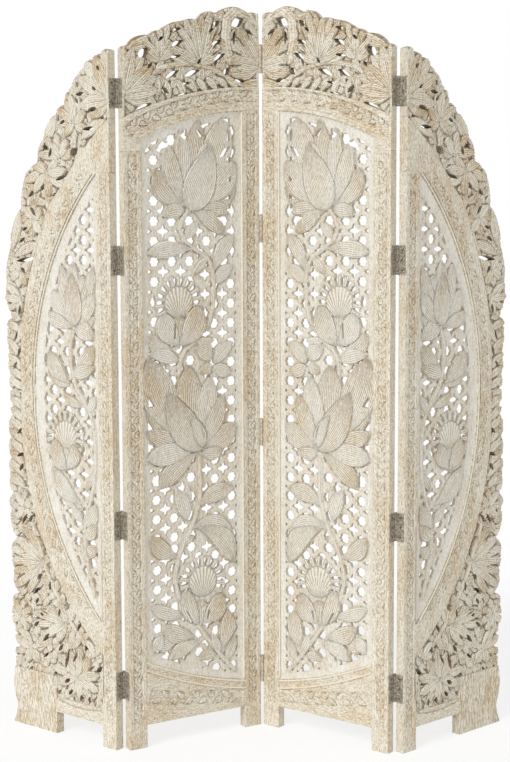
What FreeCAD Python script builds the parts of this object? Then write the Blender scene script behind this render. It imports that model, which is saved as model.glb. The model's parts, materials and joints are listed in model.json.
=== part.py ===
import FreeCAD, Part
import math
import os

import Sketcher
from FreeCAD import Rotation, Vector

# A carved four-panel folding screen. Every panel is drawn flat: "across" runs from the panel's
# outer hinge line, z runs up from the floor and y runs from the carved front (0) to the back.
# The four flat panels are then set up in the zigzag in which the screen stands.

NAMED_SIZES = [
    # whole screen
    ("screen_height", 1830, "floor to the top of the crest"),
    ("panel_width", 381, "one panel, edge to edge"),
    ("panel_thickness", 24, "frames, crest and leaf boards"),
    ("panel_gap", 4, "between two panels laid flat"),
    # stiles and legs
    ("inner_stile_width", 48, "stiles of the two middle panels"),
    ("outer_stile_width", 46, "hinge-side stile of an end panel"),
    ("inner_stile_top", 1470, "top of the stile on the outer hinge line"),
    ("centre_stile_top", 1577, "top of the stile on the centre line"),
    ("outer_stile_top", 1421, "top of the end panel's stile"),
    # middle panel rails
    ("inner_rail_bottom", 57, "underside of a middle bottom rail"),
    ("inner_rail_low", 127, "top of that rail on the centre side"),
    ("inner_rail_high", 218, "top of that rail on the outer side"),
    ("inner_rail_radius", 1071, "curve of its top edge"),
    ("arch_opening_low", 1503, "underside of the arch at the outer stile"),
    ("arch_opening_radius", 754, "curve of the arch underside"),
    ("arch_top_low", 1549, "top of the arch at the outer hinge line"),
    ("arch_top_high", 1637, "top of the arch on the centre line"),
    ("arch_top_radius", 900, "curve of the arch top"),
    # end panel bands
    ("band_opening_reach", 271, "widest point of the lens opening"),
    ("band_reach", 320, "widest point of the band"),
    ("band_split_height", 875, "where the two halves of the band meet"),
    ("band_opening_low", 316, "lower corner of the lens opening"),
    ("band_low", 236, "band's underside at the stile"),
    ("band_opening_upper_radius", 745, "inner curve, upper half"),
    ("band_opening_lower_radius", 787, "inner curve, lower half"),
    ("band_upper_radius", 764, "outer curve, upper half"),
    ("band_lower_radius", 748, "outer curve, lower half"),
    # end panel foot
    ("outer_rail_bottom", 57, "underside of an end bottom rail"),
    ("outer_rail_top", 95, "top of that rail"),
    ("foot_start", 210, "inner side of the wide foot"),
    ("foot_reach", 374, "outer toe of the wide foot"),
    ("foot_waist_reach", 361, "foot at its waist"),
    ("foot_waist_height", 55, "height of the waist"),
    ("foot_top_reach", 366, "foot under the leaf board"),
    ("foot_height", 150, "top of the wide foot"),
    ("foot_waist_radius", 75, "hollow of its outer edge"),
    ("foot_calf_radius", 150, "swell of its outer edge"),
    # leaf boards and crest
    ("crest_side_height", 1712, "crest on the outer hinge line"),
    ("crest_centre_height", 1817, "crest on the centre line"),
    ("leaf_board_height", 1708, "end panel on its hinge line"),
    ("leaf_board_reach", 366, "leaf boards where they meet"),
    # pierced fields
    ("field_recess", 6, "field behind the frame's face"),
    ("field_thickness", 10, "pierced board"),
    ("relief_height", 3, "flowers and leaves stand proud of the lattice"),
    ("groove_depth", 8, "groove for the field in the frame"),
    ("groove_slack", 1, "room for the wood to move"),
    ("field_border", 18, "unpierced edge of a middle field"),
    ("lens_border", 27, "unpierced edge along the curve of an end field"),
    ("lens_stile_border", 16, "unpierced edge along the stile of an end field"),
    ("lattice_pitch", 49, "cross to cross"),
    ("star_radius", 13, "round holes"),
    ("cross_reach", 17, "cross holes, centre to tip"),
    ("stem_width", 11, "carved stems"),
    ("daisy_radius", 66, "whole flower"),
    ("daisy_eye_radius", 39, "plain disc in the flower"),
    ("daisy_slot_width", 6, "slots between the petals"),
    ("daisy_rim", 6, "wood outside the slots"),
    # joints between the pieces
    ("joint_thickness", 8, "tenons and tongues"),
    ("tenon_length", 22, "rails into stiles and feet"),
    ("stile_tenon_length", 30, "stiles into arch and band"),
    ("stile_tenon_width", 20, "those tenons, across"),
    ("rail_tenon_low", 70, "underside of a middle rail's tenon"),
    ("rail_tenon_height", 42, "height of that tenon"),
    ("toe_tenon_low", 64, "underside of an end rail's tenon"),
    ("toe_tenon_height", 24, "height of that tenon"),
    ("band_tenon_low", 262, "underside of the band's tenon in the stile"),
    ("band_tenon_height", 34, "height of that tenon"),
    ("scarf_tenon_length", 25, "band half into band half"),
    ("scarf_tenon_width", 22, "that tenon, across"),
    ("foot_tenon_start", 262, "foot's tenon, inner side"),
    ("foot_tenon_width", 50, "foot's tenon, across"),
    ("tongue_height", 6, "tongue under the crest and leaf boards"),
    # hinges
    ("hinge_height", 70, "leaf and barrel"),
    ("leaf_thickness", 1.6, "hinge leaf"),
    ("leaf_inset", 2, "leaf's edge behind the far face"),
    ("axis_offset", 3.4, "pin's centre outside the panel face"),
    ("barrel_radius", 3.2, "outside of the knuckles"),
    ("barrel_clearance", 0.4, "leaf clear of the other leaf's knuckles"),
    ("knuckle_gap", 0.3, "between neighbouring knuckles"),
    ("pin_radius", 1.6, "hinge pin"),
    ("pin_clearance", 0.05, "pin in its knuckles"),
    ("pin_head_radius", 2.6, "head of the pin"),
    ("pin_head_height", 1.2, "head of the pin"),
    ("screw_radius", 1.5, "shank of a hinge screw"),
    ("screw_head_radius", 2.9, "countersunk head"),
    ("screw_length", 16, "head to tip"),
    ("screw_spacing", 24, "between screws in one leaf"),
    ("screw_depth", 15, "screws in front of the pin"),
    ("side_hinge_1", 161, "outer lines, lowest hinge"),
    ("side_hinge_2", 563, "outer lines, second hinge"),
    ("side_hinge_3", 1210, "outer lines, third hinge"),
    ("side_hinge_4", 1608, "outer lines, top hinge"),
    ("centre_hinge_1", 150, "centre line, lowest hinge"),
    ("centre_hinge_2", 768, "centre line, second hinge"),
    ("centre_hinge_3", 1285, "centre line, third hinge"),
    ("centre_hinge_4", 1706, "centre line, top hinge"),
]

# Degrees by which each panel is turned from the screen's width as it stands.
OUTER_LEFT_TURN = -38.0
INNER_LEFT_TURN = 32.5
INNER_RIGHT_TURN = -36.5
OUTER_RIGHT_TURN = 42.5

# Outlines and carving are shares of the panel's width (across) and the screen's height (up).
# A leaf is its base, its tip, its width and how far its middle bends to one side.

INNER_LEAF_SHARES = [
    (0.504, 0.7301, 0.310, 0.8153, 0.136, 0.016), (0.504, 0.7301, 0.262, 0.7694, 0.163, 0.021),
    (0.504, 0.7301, 0.425, 0.8344, 0.126, 0.010), (0.509, 0.7301, 0.562, 0.8459, 0.142, 0.000),
    (0.514, 0.7301, 0.787, 0.8470, 0.194, -0.021), (0.514, 0.7311, 0.819, 0.7902, 0.168, -0.016),
    (0.514, 0.7311, 0.819, 0.7585, 0.136, -0.016), (0.509, 0.7311, 0.761, 0.7115, 0.115, 0.016),
    (0.499, 0.7311, 0.278, 0.7290, 0.121, -0.016), (0.504, 0.7290, 0.646, 0.8153, 0.226, -0.010),
    (0.488, 0.7311, 0.367, 0.7104, 0.079, 0.010), (0.499, 0.6754, 0.168, 0.6699, 0.110, -0.016),
    (0.651, 0.6426, 0.803, 0.6951, 0.105, 0.016), (0.656, 0.6284, 0.803, 0.6536, 0.089, 0.010),
    (0.441, 0.6896, 0.538, 0.7104, 0.068, 0.000), (0.609, 0.6645, 0.499, 0.6404, 0.052, 0.000),
    (0.399, 0.5464, 0.273, 0.5869, 0.142, 0.021), (0.399, 0.5464, 0.514, 0.5880, 0.157, -0.021),
    (0.478, 0.5628, 0.646, 0.5803, 0.079, -0.010), (0.514, 0.5519, 0.656, 0.5519, 0.058, -0.010),
    (0.394, 0.5268, 0.168, 0.5628, 0.115, 0.021), (0.394, 0.5257, 0.168, 0.5366, 0.089, -0.010),
    (0.630, 0.5257, 0.514, 0.5421, 0.115, -0.021), (0.656, 0.5191, 0.803, 0.5486, 0.094, 0.016),
    (0.656, 0.5158, 0.787, 0.5060, 0.089, -0.010), (0.630, 0.5191, 0.541, 0.5082, 0.068, 0.010),
    (0.541, 0.3891, 0.168, 0.4995, 0.173, 0.026), (0.541, 0.3891, 0.168, 0.4579, 0.131, 0.016),
    (0.541, 0.3891, 0.163, 0.4262, 0.121, 0.005), (0.541, 0.3891, 0.173, 0.3945, 0.121, -0.010),
    (0.535, 0.3891, 0.278, 0.3628, 0.121, -0.021), (0.541, 0.3891, 0.388, 0.5180, 0.178, 0.016),
    (0.541, 0.3891, 0.562, 0.5093, 0.157, -0.005), (0.546, 0.3891, 0.698, 0.4743, 0.157, -0.021),
    (0.546, 0.3891, 0.803, 0.4306, 0.142, -0.021), (0.546, 0.3891, 0.688, 0.4022, 0.089, -0.016),
    (0.541, 0.3913, 0.315, 0.4809, 0.231, 0.016), (0.514, 0.3235, 0.798, 0.3454, 0.115, 0.026),
    (0.441, 0.3060, 0.357, 0.3530, 0.105, -0.016), (0.462, 0.3279, 0.446, 0.3552, 0.047, 0.000),
    (0.451, 0.2929, 0.803, 0.2776, 0.115, 0.068), (0.514, 0.2951, 0.798, 0.2404, 0.157, 0.063),
    (0.381, 0.2563, 0.168, 0.2885, 0.126, 0.026), (0.399, 0.2732, 0.499, 0.2842, 0.047, 0.000),
    (0.525, 0.1596, 0.441, 0.2033, 0.136, 0.021), (0.525, 0.1596, 0.609, 0.1923, 0.147, -0.021),
    (0.562, 0.1639, 0.740, 0.1880, 0.131, -0.026), (0.541, 0.1617, 0.394, 0.1858, 0.063, 0.010),
    (0.436, 0.1738, 0.168, 0.1923, 0.094, 0.016), (0.499, 0.1432, 0.252, 0.1617, 0.121, 0.021),
    (0.541, 0.1344, 0.304, 0.1169, 0.105, -0.021), (0.341, 0.1432, 0.178, 0.1410, 0.105, 0.016),
    (0.688, 0.1169, 0.751, 0.1738, 0.121, -0.021), (0.688, 0.1169, 0.630, 0.1432, 0.068, 0.010),
    (0.656, 0.1126, 0.525, 0.1093, 0.068, -0.010), (0.730, 0.1016, 0.803, 0.1366, 0.068, -0.010),
    (0.252, 0.1508, 0.184, 0.1301, 0.079, 0.000),
]
INNER_UPPER_STEM_SHARES = [
    (0.488, 0.7322), (0.430, 0.7169), (0.404, 0.7027), (0.438, 0.6869), (0.525, 0.6743),
    (0.612, 0.6628), (0.646, 0.6481), (0.656, 0.6284), (0.651, 0.5978), (0.625, 0.5803),
    (0.580, 0.5683), (0.504, 0.5497), (0.438, 0.5399), (0.404, 0.5279), (0.394, 0.5082),
]
INNER_LOWER_STEM_SHARES = [
    (0.541, 0.3913), (0.546, 0.3552), (0.541, 0.3333), (0.504, 0.3109), (0.465, 0.2907),
    (0.415, 0.2743), (0.383, 0.2585), (0.360, 0.2426), (0.349, 0.2246), (0.373, 0.2038),
    (0.438, 0.1814), (0.525, 0.1563), (0.612, 0.1311), (0.701, 0.1082), (0.798, 0.0863),
]
OUTER_LEAF_SHARES = [
    (0.336, 0.5705, 0.262, 0.6404, 0.168, 0.016), (0.336, 0.5705, 0.163, 0.6536, 0.105, 0.021),
    (0.336, 0.5705, 0.157, 0.6175, 0.115, 0.016), (0.336, 0.5705, 0.152, 0.5858, 0.094, 0.010),
    (0.341, 0.5716, 0.346, 0.6590, 0.121, -0.005), (0.341, 0.5716, 0.451, 0.6546, 0.110, -0.016),
    (0.341, 0.5716, 0.541, 0.6208, 0.121, -0.021), (0.341, 0.5716, 0.583, 0.5891, 0.100, -0.016),
    (0.336, 0.5694, 0.163, 0.5563, 0.121, -0.021), (0.373, 0.5082, 0.163, 0.5464, 0.121, 0.021),
    (0.367, 0.5055, 0.157, 0.5191, 0.089, 0.000), (0.394, 0.4945, 0.588, 0.5355, 0.126, -0.021),
    (0.394, 0.4918, 0.593, 0.5082, 0.073, -0.010), (0.289, 0.4645, 0.451, 0.4809, 0.063, -0.010),
    (0.241, 0.4563, 0.157, 0.4809, 0.063, 0.010), (0.220, 0.4536, 0.163, 0.4623, 0.052, 0.000),
    (0.420, 0.3792, 0.304, 0.4066, 0.131, 0.021), (0.420, 0.3792, 0.493, 0.4077, 0.136, -0.021),
    (0.425, 0.3770, 0.577, 0.3978, 0.079, -0.016), (0.294, 0.3301, 0.562, 0.3770, 0.131, -0.037),
    (0.294, 0.3257, 0.514, 0.3497, 0.079, -0.021), (0.278, 0.2995, 0.163, 0.3344, 0.110, 0.016),
    (0.273, 0.2842, 0.163, 0.3060, 0.089, 0.010), (0.262, 0.2623, 0.168, 0.2732, 0.079, 0.000),
    (0.294, 0.3060, 0.388, 0.3311, 0.068, -0.010), (0.257, 0.2514, 0.315, 0.2842, 0.052, 0.000),
    (0.173, 0.3770, 0.257, 0.3497, 0.052, 0.000),
]
OUTER_STEM_SHARES = [
    (0.336, 0.5716), (0.373, 0.5519), (0.383, 0.5383), (0.375, 0.5191), (0.333, 0.4907),
    (0.257, 0.4710), (0.199, 0.4536), (0.178, 0.4372), (0.168, 0.4153), (0.168, 0.3825),
    (0.189, 0.3552), (0.231, 0.3279), (0.268, 0.3005), (0.273, 0.2732), (0.241, 0.2404),
    (0.189, 0.2077),
]

# Scalloped edges: places between a named start and end, every other one a cusp.
CREST_EDGE_SHARES = [
    (0.016, 0.9388), (0.047, 0.9393), (0.110, 0.9519), (0.205, 0.9552), (0.236, 0.9607),
    (0.276, 0.9617), (0.362, 0.9727), (0.441, 0.9765), (0.493, 0.9798), (0.546, 0.9781),
    (0.609, 0.9907), (0.688, 0.9896), (0.811, 1.0000), (0.924, 0.9929), (0.961, 0.9945),
]
UPPER_EDGE_SHARES = [
    (0.034, 0.9355), (0.066, 0.9301), (0.110, 0.9290), (0.142, 0.9235), (0.192, 0.9224),
    (0.226, 0.9137), (0.294, 0.9049), (0.341, 0.8907), (0.394, 0.8809), (0.399, 0.8678),
    (0.451, 0.8656), (0.488, 0.8557), (0.562, 0.8459), (0.593, 0.8240), (0.661, 0.8077),
    (0.656, 0.7923), (0.777, 0.7781), (0.829, 0.7311), (0.903, 0.7126), (0.945, 0.6732),
    (0.982, 0.6503), (0.982, 0.6273), (0.995, 0.6120), (0.976, 0.5967), (0.955, 0.5891),
    (0.934, 0.5792), (0.982, 0.5738), (0.982, 0.5574), (0.987, 0.5464), (0.971, 0.5301),
    (0.982, 0.5137), (0.966, 0.4984), (0.976, 0.4874),
]
LOWER_EDGE_SHARES = [
    (0.971, 0.4699), (0.950, 0.4601), (0.961, 0.4525), (0.945, 0.4437), (0.992, 0.4317),
    (0.966, 0.4109), (0.997, 0.4000), (0.976, 0.3858), (0.995, 0.3716), (0.976, 0.3563),
    (0.992, 0.3443), (0.971, 0.3322), (0.997, 0.3202), (0.976, 0.3060), (0.992, 0.2929),
    (0.969, 0.2798), (0.950, 0.2732), (0.924, 0.2678), (0.976, 0.2590), (0.982, 0.2459),
    (0.982, 0.2317), (0.961, 0.2186), (0.971, 0.2033), (0.924, 0.1885), (0.982, 0.1803),
    (0.976, 0.1667), (0.987, 0.1552), (0.966, 0.1421), (0.955, 0.1246), (0.919, 0.1109),
    (0.961, 0.1071),
]

# Piercings of the leaf boards: two ends and a width.
CREST_HOLE_SHARES = [
    (0.118, 0.9257, 0.181, 0.9366, 0.045), (0.659, 0.9710, 0.709, 0.9798, 0.034),
    (0.801, 0.9738, 0.885, 0.9858, 0.045), (0.367, 0.9634, 0.420, 0.9661, 0.021),
    (0.352, 0.9421, 0.436, 0.9508, 0.031), (0.341, 0.9279, 0.420, 0.9306, 0.021),
    (0.640, 0.9475, 0.724, 0.9541, 0.026), (0.656, 0.9268, 0.751, 0.9372, 0.031),
    (0.735, 0.9082, 0.785, 0.9180, 0.039), (0.819, 0.9027, 0.898, 0.9016, 0.026),
    (0.449, 0.9044, 0.562, 0.9137, 0.034), (0.310, 0.9005, 0.409, 0.9115, 0.031),
    (0.176, 0.9115, 0.215, 0.9191, 0.021), (0.402, 0.8776, 0.478, 0.8825, 0.021),
    (0.278, 0.8896, 0.331, 0.8798, 0.026), (0.105, 0.8579, 0.207, 0.8667, 0.031),
    (0.428, 0.8934, 0.491, 0.8962, 0.016), (0.808, 0.9486, 0.824, 0.9683, 0.024),
    (0.903, 0.9716, 0.955, 0.9628, 0.021), (0.619, 0.9634, 0.661, 0.9694, 0.018),
    (0.252, 0.9475, 0.294, 0.9541, 0.021), (0.669, 0.9191, 0.688, 0.9290, 0.018),
    (0.538, 0.9202, 0.567, 0.9290, 0.018),
]
UPPER_HOLE_SHARES = [
    (0.205, 0.8803, 0.299, 0.8798, 0.026), (0.100, 0.8601, 0.184, 0.8579, 0.029),
    (0.121, 0.8350, 0.231, 0.8339, 0.026), (0.299, 0.8109, 0.341, 0.8000, 0.039),
    (0.388, 0.8470, 0.436, 0.8426, 0.024), (0.262, 0.8678, 0.294, 0.8754, 0.021),
    (0.688, 0.6634, 0.866, 0.6590, 0.031), (0.782, 0.6426, 0.824, 0.6503, 0.031),
    (0.514, 0.8120, 0.541, 0.7989, 0.026), (0.572, 0.8197, 0.593, 0.8066, 0.026),
    (0.394, 0.7738, 0.483, 0.7683, 0.024), (0.583, 0.7639, 0.630, 0.7541, 0.024),
    (0.688, 0.7563, 0.751, 0.7464, 0.026), (0.672, 0.7202, 0.724, 0.7333, 0.026),
    (0.751, 0.7049, 0.819, 0.7016, 0.024), (0.787, 0.6918, 0.845, 0.6842, 0.024),
    (0.835, 0.5989, 0.850, 0.5847, 0.024), (0.866, 0.5628, 0.908, 0.5464, 0.024),
    (0.850, 0.5410, 0.871, 0.5246, 0.024), (0.882, 0.5191, 0.919, 0.5082, 0.024),
    (0.073, 0.9082, 0.100, 0.9148, 0.024), (0.110, 0.8831, 0.142, 0.8885, 0.021),
]
LOWER_HOLE_SHARES = [
    (0.609, 0.1410, 0.688, 0.1268, 0.029), (0.420, 0.0831, 0.472, 0.0765, 0.029),
    (0.131, 0.1093, 0.184, 0.1016, 0.034), (0.425, 0.1268, 0.462, 0.0962, 0.031),
    (0.341, 0.1257, 0.394, 0.1071, 0.024), (0.488, 0.1301, 0.535, 0.1180, 0.026),
    (0.630, 0.2732, 0.661, 0.2568, 0.026), (0.688, 0.2240, 0.719, 0.2142, 0.029),
    (0.709, 0.2033, 0.766, 0.1923, 0.026), (0.593, 0.2164, 0.614, 0.2011, 0.024),
    (0.415, 0.1902, 0.446, 0.1803, 0.029), (0.336, 0.1639, 0.352, 0.1530, 0.024),
    (0.504, 0.1803, 0.525, 0.1672, 0.024), (0.709, 0.1552, 0.766, 0.1454, 0.026),
    (0.661, 0.1650, 0.698, 0.1672, 0.021), (0.262, 0.1366, 0.289, 0.1268, 0.026),
    (0.236, 0.0656, 0.252, 0.0546, 0.024), (0.310, 0.0656, 0.325, 0.0546, 0.026),
    (0.394, 0.0689, 0.441, 0.0601, 0.026), (0.514, 0.0634, 0.562, 0.0557, 0.026),
    (0.709, 0.1891, 0.751, 0.1781, 0.024), (0.845, 0.4262, 0.892, 0.4175, 0.024),
    (0.835, 0.3913, 0.898, 0.3858, 0.024), (0.840, 0.3770, 0.877, 0.3650, 0.026),
    (0.803, 0.3060, 0.866, 0.2896, 0.029), (0.751, 0.3060, 0.793, 0.2929, 0.029),
    (0.572, 0.2546, 0.604, 0.2448, 0.024), (0.630, 0.1126, 0.688, 0.1038, 0.024),
    (0.787, 0.0874, 0.819, 0.0776, 0.024), (0.551, 0.0874, 0.593, 0.0820, 0.021),
]

# Lattice of a field by region: its first cross, then the region's sides as shares.
INNER_LATTICE_SHARES = [
    (0.161, 0.3247, 0.0, 0.276, 0.515, 1.0),
    (0.161, 0.3247, 0.515, 0.6585, 1.0, 1.0),
    (0.727, 0.3732, 0.515, 0.0, 1.0, 0.6585),
    (0.161, 0.2546, 0.0, 0.0, 0.515, 0.276),
]
OUTER_LATTICE_SHARES = [
    (0.197, 0.6749, 0.0, 0.555, 1.0, 1.0),
    (0.357, 0.4705, 0.0, 0.38, 1.0, 0.555),
    (0.408, 0.2913, 0.0, 0.19, 1.0, 0.38),
]
INNER_DAISY_SHARES = [(0.394, 0.6044), (0.556, 0.2186)]
OUTER_DAISY_SHARES = [(0.441, 0.4208)]
STAR_LOBE_SHARE = 0.8
CROSS_ARM_SHARE = 0.29
CROSS_SHOULDER_SHARE = 0.7
CROSS_HEART_SHARE = 0.4
SMALLEST_HOLE_SHARE = 0.01
NEAREST_HOLE_SHARE = 0.6

doc = FreeCAD.newDocument("CarvedScreen")
sheet = doc.addObject("Spreadsheet::Sheet", "Sizes")
for row, (alias, value, note) in enumerate(NAMED_SIZES, 1):
    sheet.set(f"A{row}", alias)
    sheet.set(f"B{row}", str(value))
    sheet.setAlias(f"B{row}", alias)
    sheet.set(f"C{row}", note)
doc.recompute()


class Length:
    """A length with its value now and the sheet expression it comes from."""

    def __init__(self, value, text):
        self.value = value
        self.text = text

    def __add__(self, other):
        return Length(self.value + other.value, f"({self.text} + {other.text})")

    def __sub__(self, other):
        return Length(self.value - other.value, f"({self.text} - {other.text})")

    def __neg__(self):
        return Length(-self.value, f"(-{self.text})")

    def __mul__(self, share):
        return Length(self.value * share, f"({self.text} * {share})")


def size(alias):
    return Length(float(sheet.get(alias)), f"<<Sizes>>.{alias}")


ZERO = Length(0.0, "0")
height = size("screen_height")
width = size("panel_width")
thickness = size("panel_thickness")
inner_stile = size("inner_stile_width")
outer_stile = size("outer_stile_width")
groove = size("groove_depth")
slack = size("groove_slack")
field_front = size("field_recess")
field_depth = size("field_thickness")
joint = size("joint_thickness")
joint_front = (thickness - joint) * 0.5
tenon = size("tenon_length")
stile_tenon = size("stile_tenon_length")
stile_tenon_width = size("stile_tenon_width")
tongue = size("tongue_height")
split = size("band_split_height")


# Drawing in the panel's plane. An outline is a list of corners; a corner with a third entry
# starts an arc of that radius towards the next corner. Outlines run anticlockwise, and a
# negative radius bends into the piece.


def arc_middle(start, end, radius):
    """Middle point of the arc that leaves the chord by its sagitta."""
    chord = end - start
    half = chord.Length / 2
    sagitta = abs(radius) - math.sqrt(radius * radius - half * half)
    side = Vector(-chord.z, 0, chord.x).normalize()
    return (start + end) * 0.5 - side * math.copysign(sagitta, radius)


def wire_of(corners):
    """Closed wire of an outline of lengths."""
    places = [Vector(corner[0].value, 0, corner[1].value) for corner in corners]
    edges = []
    for index, corner in enumerate(corners):
        start = places[index]
        end = places[(index + 1) % len(places)]
        if len(corner) == 3:
            middle = arc_middle(start, end, corner[2].value)
            edges.append(Part.Arc(start, middle, end).toShape())
        else:
            edges.append(Part.LineSegment(start, end).toShape())
    return Part.Wire(edges)


def front_face(wire):
    """Face inside a wire, looking out of the panel's front."""
    face = Part.Face(wire)
    if face.normalAt(0, 0).y > 0:
        face.reverse()
    return face


def board(corners, front, depth):
    """Solid board of an outline, from its front to that depth behind it."""
    face = front_face(wire_of(corners))
    face.translate(Vector(0, front.value, 0))
    return face.extrude(Vector(0, depth.value, 0))


def new_body(label):
    body = doc.addObject("PartDesign::Body", label)
    body.Label = label
    return body


def origin_plane(body, role):
    for feature in body.Origin.OriginFeatures:
        if feature.Role == role:
            return feature
    raise RuntimeError(f"{body.Label} has no {role}")


def add_sketch(body, name, role, offset, flipped):
    """Sketch on one of the body's own planes, moved along that plane's normal."""
    sketch = body.newObject("Sketcher::SketchObject", f"{body.Name}_{name}")
    sketch.AttachmentSupport = (origin_plane(body, role), [""])
    sketch.MapMode = "FlatFace"
    sketch.MapReversed = flipped
    sketch.setExpression(".AttachmentOffset.Base.z", offset.text)
    return sketch


def fix_point(sketch, geometry, place, first, second):
    """Dimension a point from the sketch's origin along both of its axes."""
    for kind, axis, length in (("DistanceX", -2, first), ("DistanceY", -1, second)):
        if length.text == "0":
            sketch.addConstraint(Sketcher.Constraint("PointOnObject", geometry, place, axis))
        else:
            row = sketch.addConstraint(
                Sketcher.Constraint(kind, -1, 1, geometry, place, length.value)
            )
            sketch.setExpression(f"Constraints[{row}]", length.text)


def draw_outline(sketch, corners):
    """Outline of lines and arcs with every corner and radius dimensioned."""
    places = [Vector(corner[0].value, corner[1].value, 0) for corner in corners]
    count = len(corners)
    for index, corner in enumerate(corners):
        start = places[index]
        end = places[(index + 1) % count]
        if len(corner) == 3:
            flat_start = Vector(start.x, 0, start.y)
            flat_end = Vector(end.x, 0, end.y)
            middle = arc_middle(flat_start, flat_end, corner[2].value)
            through = Vector(middle.x, middle.z, 0)
            sketch.addGeometry(Part.Arc(start, through, end), False)
        else:
            sketch.addGeometry(Part.LineSegment(start, end), False)
    starts = []
    ends = []
    for index in range(count):
        first = sketch.getPoint(index, 1)
        here, there = places[index], places[(index + 1) % count]
        keeps_order = first.distanceToPoint(here) < first.distanceToPoint(there)
        starts.append(1 if keeps_order else 2)
        ends.append(2 if keeps_order else 1)
    for index in range(count):
        follower = (index + 1) % count
        sketch.addConstraint(
            Sketcher.Constraint("Coincident", index, ends[index], follower, starts[follower])
        )
    for index, corner in enumerate(corners):
        fix_point(sketch, index, starts[index], corner[0], corner[1])
        if len(corner) == 3:
            radius = corner[2] if corner[2].value > 0 else -corner[2]
            row = sketch.addConstraint(Sketcher.Constraint("Radius", index, radius.value))
            sketch.setExpression(f"Constraints[{row}]", radius.text)


def draw_circles(sketch, circles):
    """Circles given by centre and radius."""
    for index, (across, up, radius) in enumerate(circles):
        centre = Vector(across.value, up.value, 0)
        sketch.addGeometry(Part.Circle(centre, Vector(0, 0, 1), radius.value), False)
        fix_point(sketch, index, 3, across, up)
        row = sketch.addConstraint(Sketcher.Constraint("Radius", index, radius.value))
        sketch.setExpression(f"Constraints[{row}]", radius.text)


def panel_pad(body, name, corners, front, depth, mirrored):
    """Add material on the panel's outline, from its front to that depth."""
    offset = front if mirrored else -front
    sketch = add_sketch(body, name, "XZ_Plane", offset, mirrored)
    draw_outline(sketch, corners)
    pad = body.newObject("PartDesign::Pad", f"{body.Name}_{name}_pad")
    pad.Profile = sketch
    pad.setExpression("Length", depth.text)
    pad.Reversed = not mirrored
    return pad


def panel_pocket(body, name, corners, front, depth, mirrored):
    """Take material away on the panel's outline, from its front to that depth."""
    offset = front if mirrored else -front
    sketch = add_sketch(body, name, "XZ_Plane", offset, mirrored)
    draw_outline(sketch, corners)
    pocket = body.newObject("PartDesign::Pocket", f"{body.Name}_{name}_pocket")
    pocket.Profile = sketch
    pocket.setExpression("Length", depth.text)
    pocket.Reversed = mirrored
    return pocket


def rectangle(left, low, right, high):
    return [(left, low), (right, low), (right, high), (left, high)]


SIDE_HINGES = [size(f"side_hinge_{number}") for number in (1, 2, 3, 4)]
CENTRE_HINGES = [size(f"centre_hinge_{number}") for number in (1, 2, 3, 4)]
screw_radius = size("screw_radius")
screw_length = size("screw_length")
screw_spacing = size("screw_spacing")
leaf_thickness = size("leaf_thickness")
axis_offset = size("axis_offset")
screw_row_behind = thickness + axis_offset - size("screw_depth")
screw_row_ahead = size("screw_depth") - axis_offset
screw_bore = screw_length - leaf_thickness


def screw_heights(hinge):
    return [hinge - screw_spacing, hinge, hinge + screw_spacing]


def stile_screw_holes(body, name, edge, row, hinges, towards_x):
    """Screw holes in a stile's hinge edge, in the row of the hinge leaves."""
    sketch = add_sketch(body, name, "YZ_Plane", edge, False)
    circles = []
    for hinge in hinges:
        for up in screw_heights(hinge):
            circles.append((row, up, screw_radius))
    draw_circles(sketch, circles)
    pocket = body.newObject("PartDesign::Pocket", f"{body.Name}_{name}_pocket")
    pocket.Profile = sketch
    pocket.setExpression("Length", screw_bore.text)
    pocket.Reversed = towards_x
    return pocket


def screw_cylinders(across, row, hinge, towards):
    """Screw holes of one hinge in a carved board, pointing into the wood."""
    holes = []
    for up in screw_heights(hinge):
        start = Vector(across.value, row.value, up.value)
        holes.append(
            Part.makeCylinder(screw_radius.value, screw_bore.value, start, Vector(towards, 0, 0))
        )
    return holes


# Carving in the panel's plane.

def at(shares):
    """Place in the panel from shares of its width and of the screen's height."""
    return Vector(width.value * shares[0], 0, height.value * shares[1])


def leaf_face(base, tip, breadth, bend):
    """Pointed leaf between two arcs."""
    spine = tip - base
    middle = (base + tip) * 0.5
    side = Vector(-spine.z, 0, spine.x).normalize()
    one = Part.Arc(base, middle + side * (bend + breadth / 2), tip).toShape()
    other = Part.Arc(tip, middle + side * (bend - breadth / 2), base).toShape()
    return front_face(Part.Wire([one, other]))


def leaf_faces(table):
    faces = []
    for row in table:
        bend = width.value * row[5] if len(row) > 5 else 0.0
        faces.append(leaf_face(at(row[:2]), at(row[2:4]), width.value * row[4], bend))
    return faces


def stem_face(table, breadth):
    """Strip of even width along a line of places."""
    spine = [at(row) for row in table]
    left = []
    right = []
    for index, place in enumerate(spine):
        before = spine[max(index - 1, 0)]
        after = spine[min(index + 1, len(spine) - 1)]
        run = after - before
        side = Vector(-run.z, 0, run.x).normalize() * (breadth / 2)
        left.append(place + side)
        right.append(place - side)
    loop = left + right[::-1]
    return front_face(Part.makePolygon(loop + loop[:1]))


def disc_face(centre, radius):
    return front_face(Part.Wire(Part.makeCircle(radius, centre, Vector(0, 1, 0))))


def polygon_face(centre, spokes):
    """Closed shape from (degrees, reach) pairs round a centre."""
    corners = []
    for degrees, reach in spokes:
        angle = math.radians(degrees)
        corners.append(centre + Vector(math.cos(angle) * reach, 0, math.sin(angle) * reach))
    return front_face(Part.makePolygon(corners + corners[:1]))


def star_face(centre):
    """Round hole with eight small lobes."""
    reach = size("star_radius").value
    spokes = []
    for step in range(8):
        spokes.append((step * 45.0, reach))
        spokes.append((step * 45.0 + 22.5, reach * STAR_LOBE_SHARE))
    return polygon_face(centre, spokes)


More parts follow.
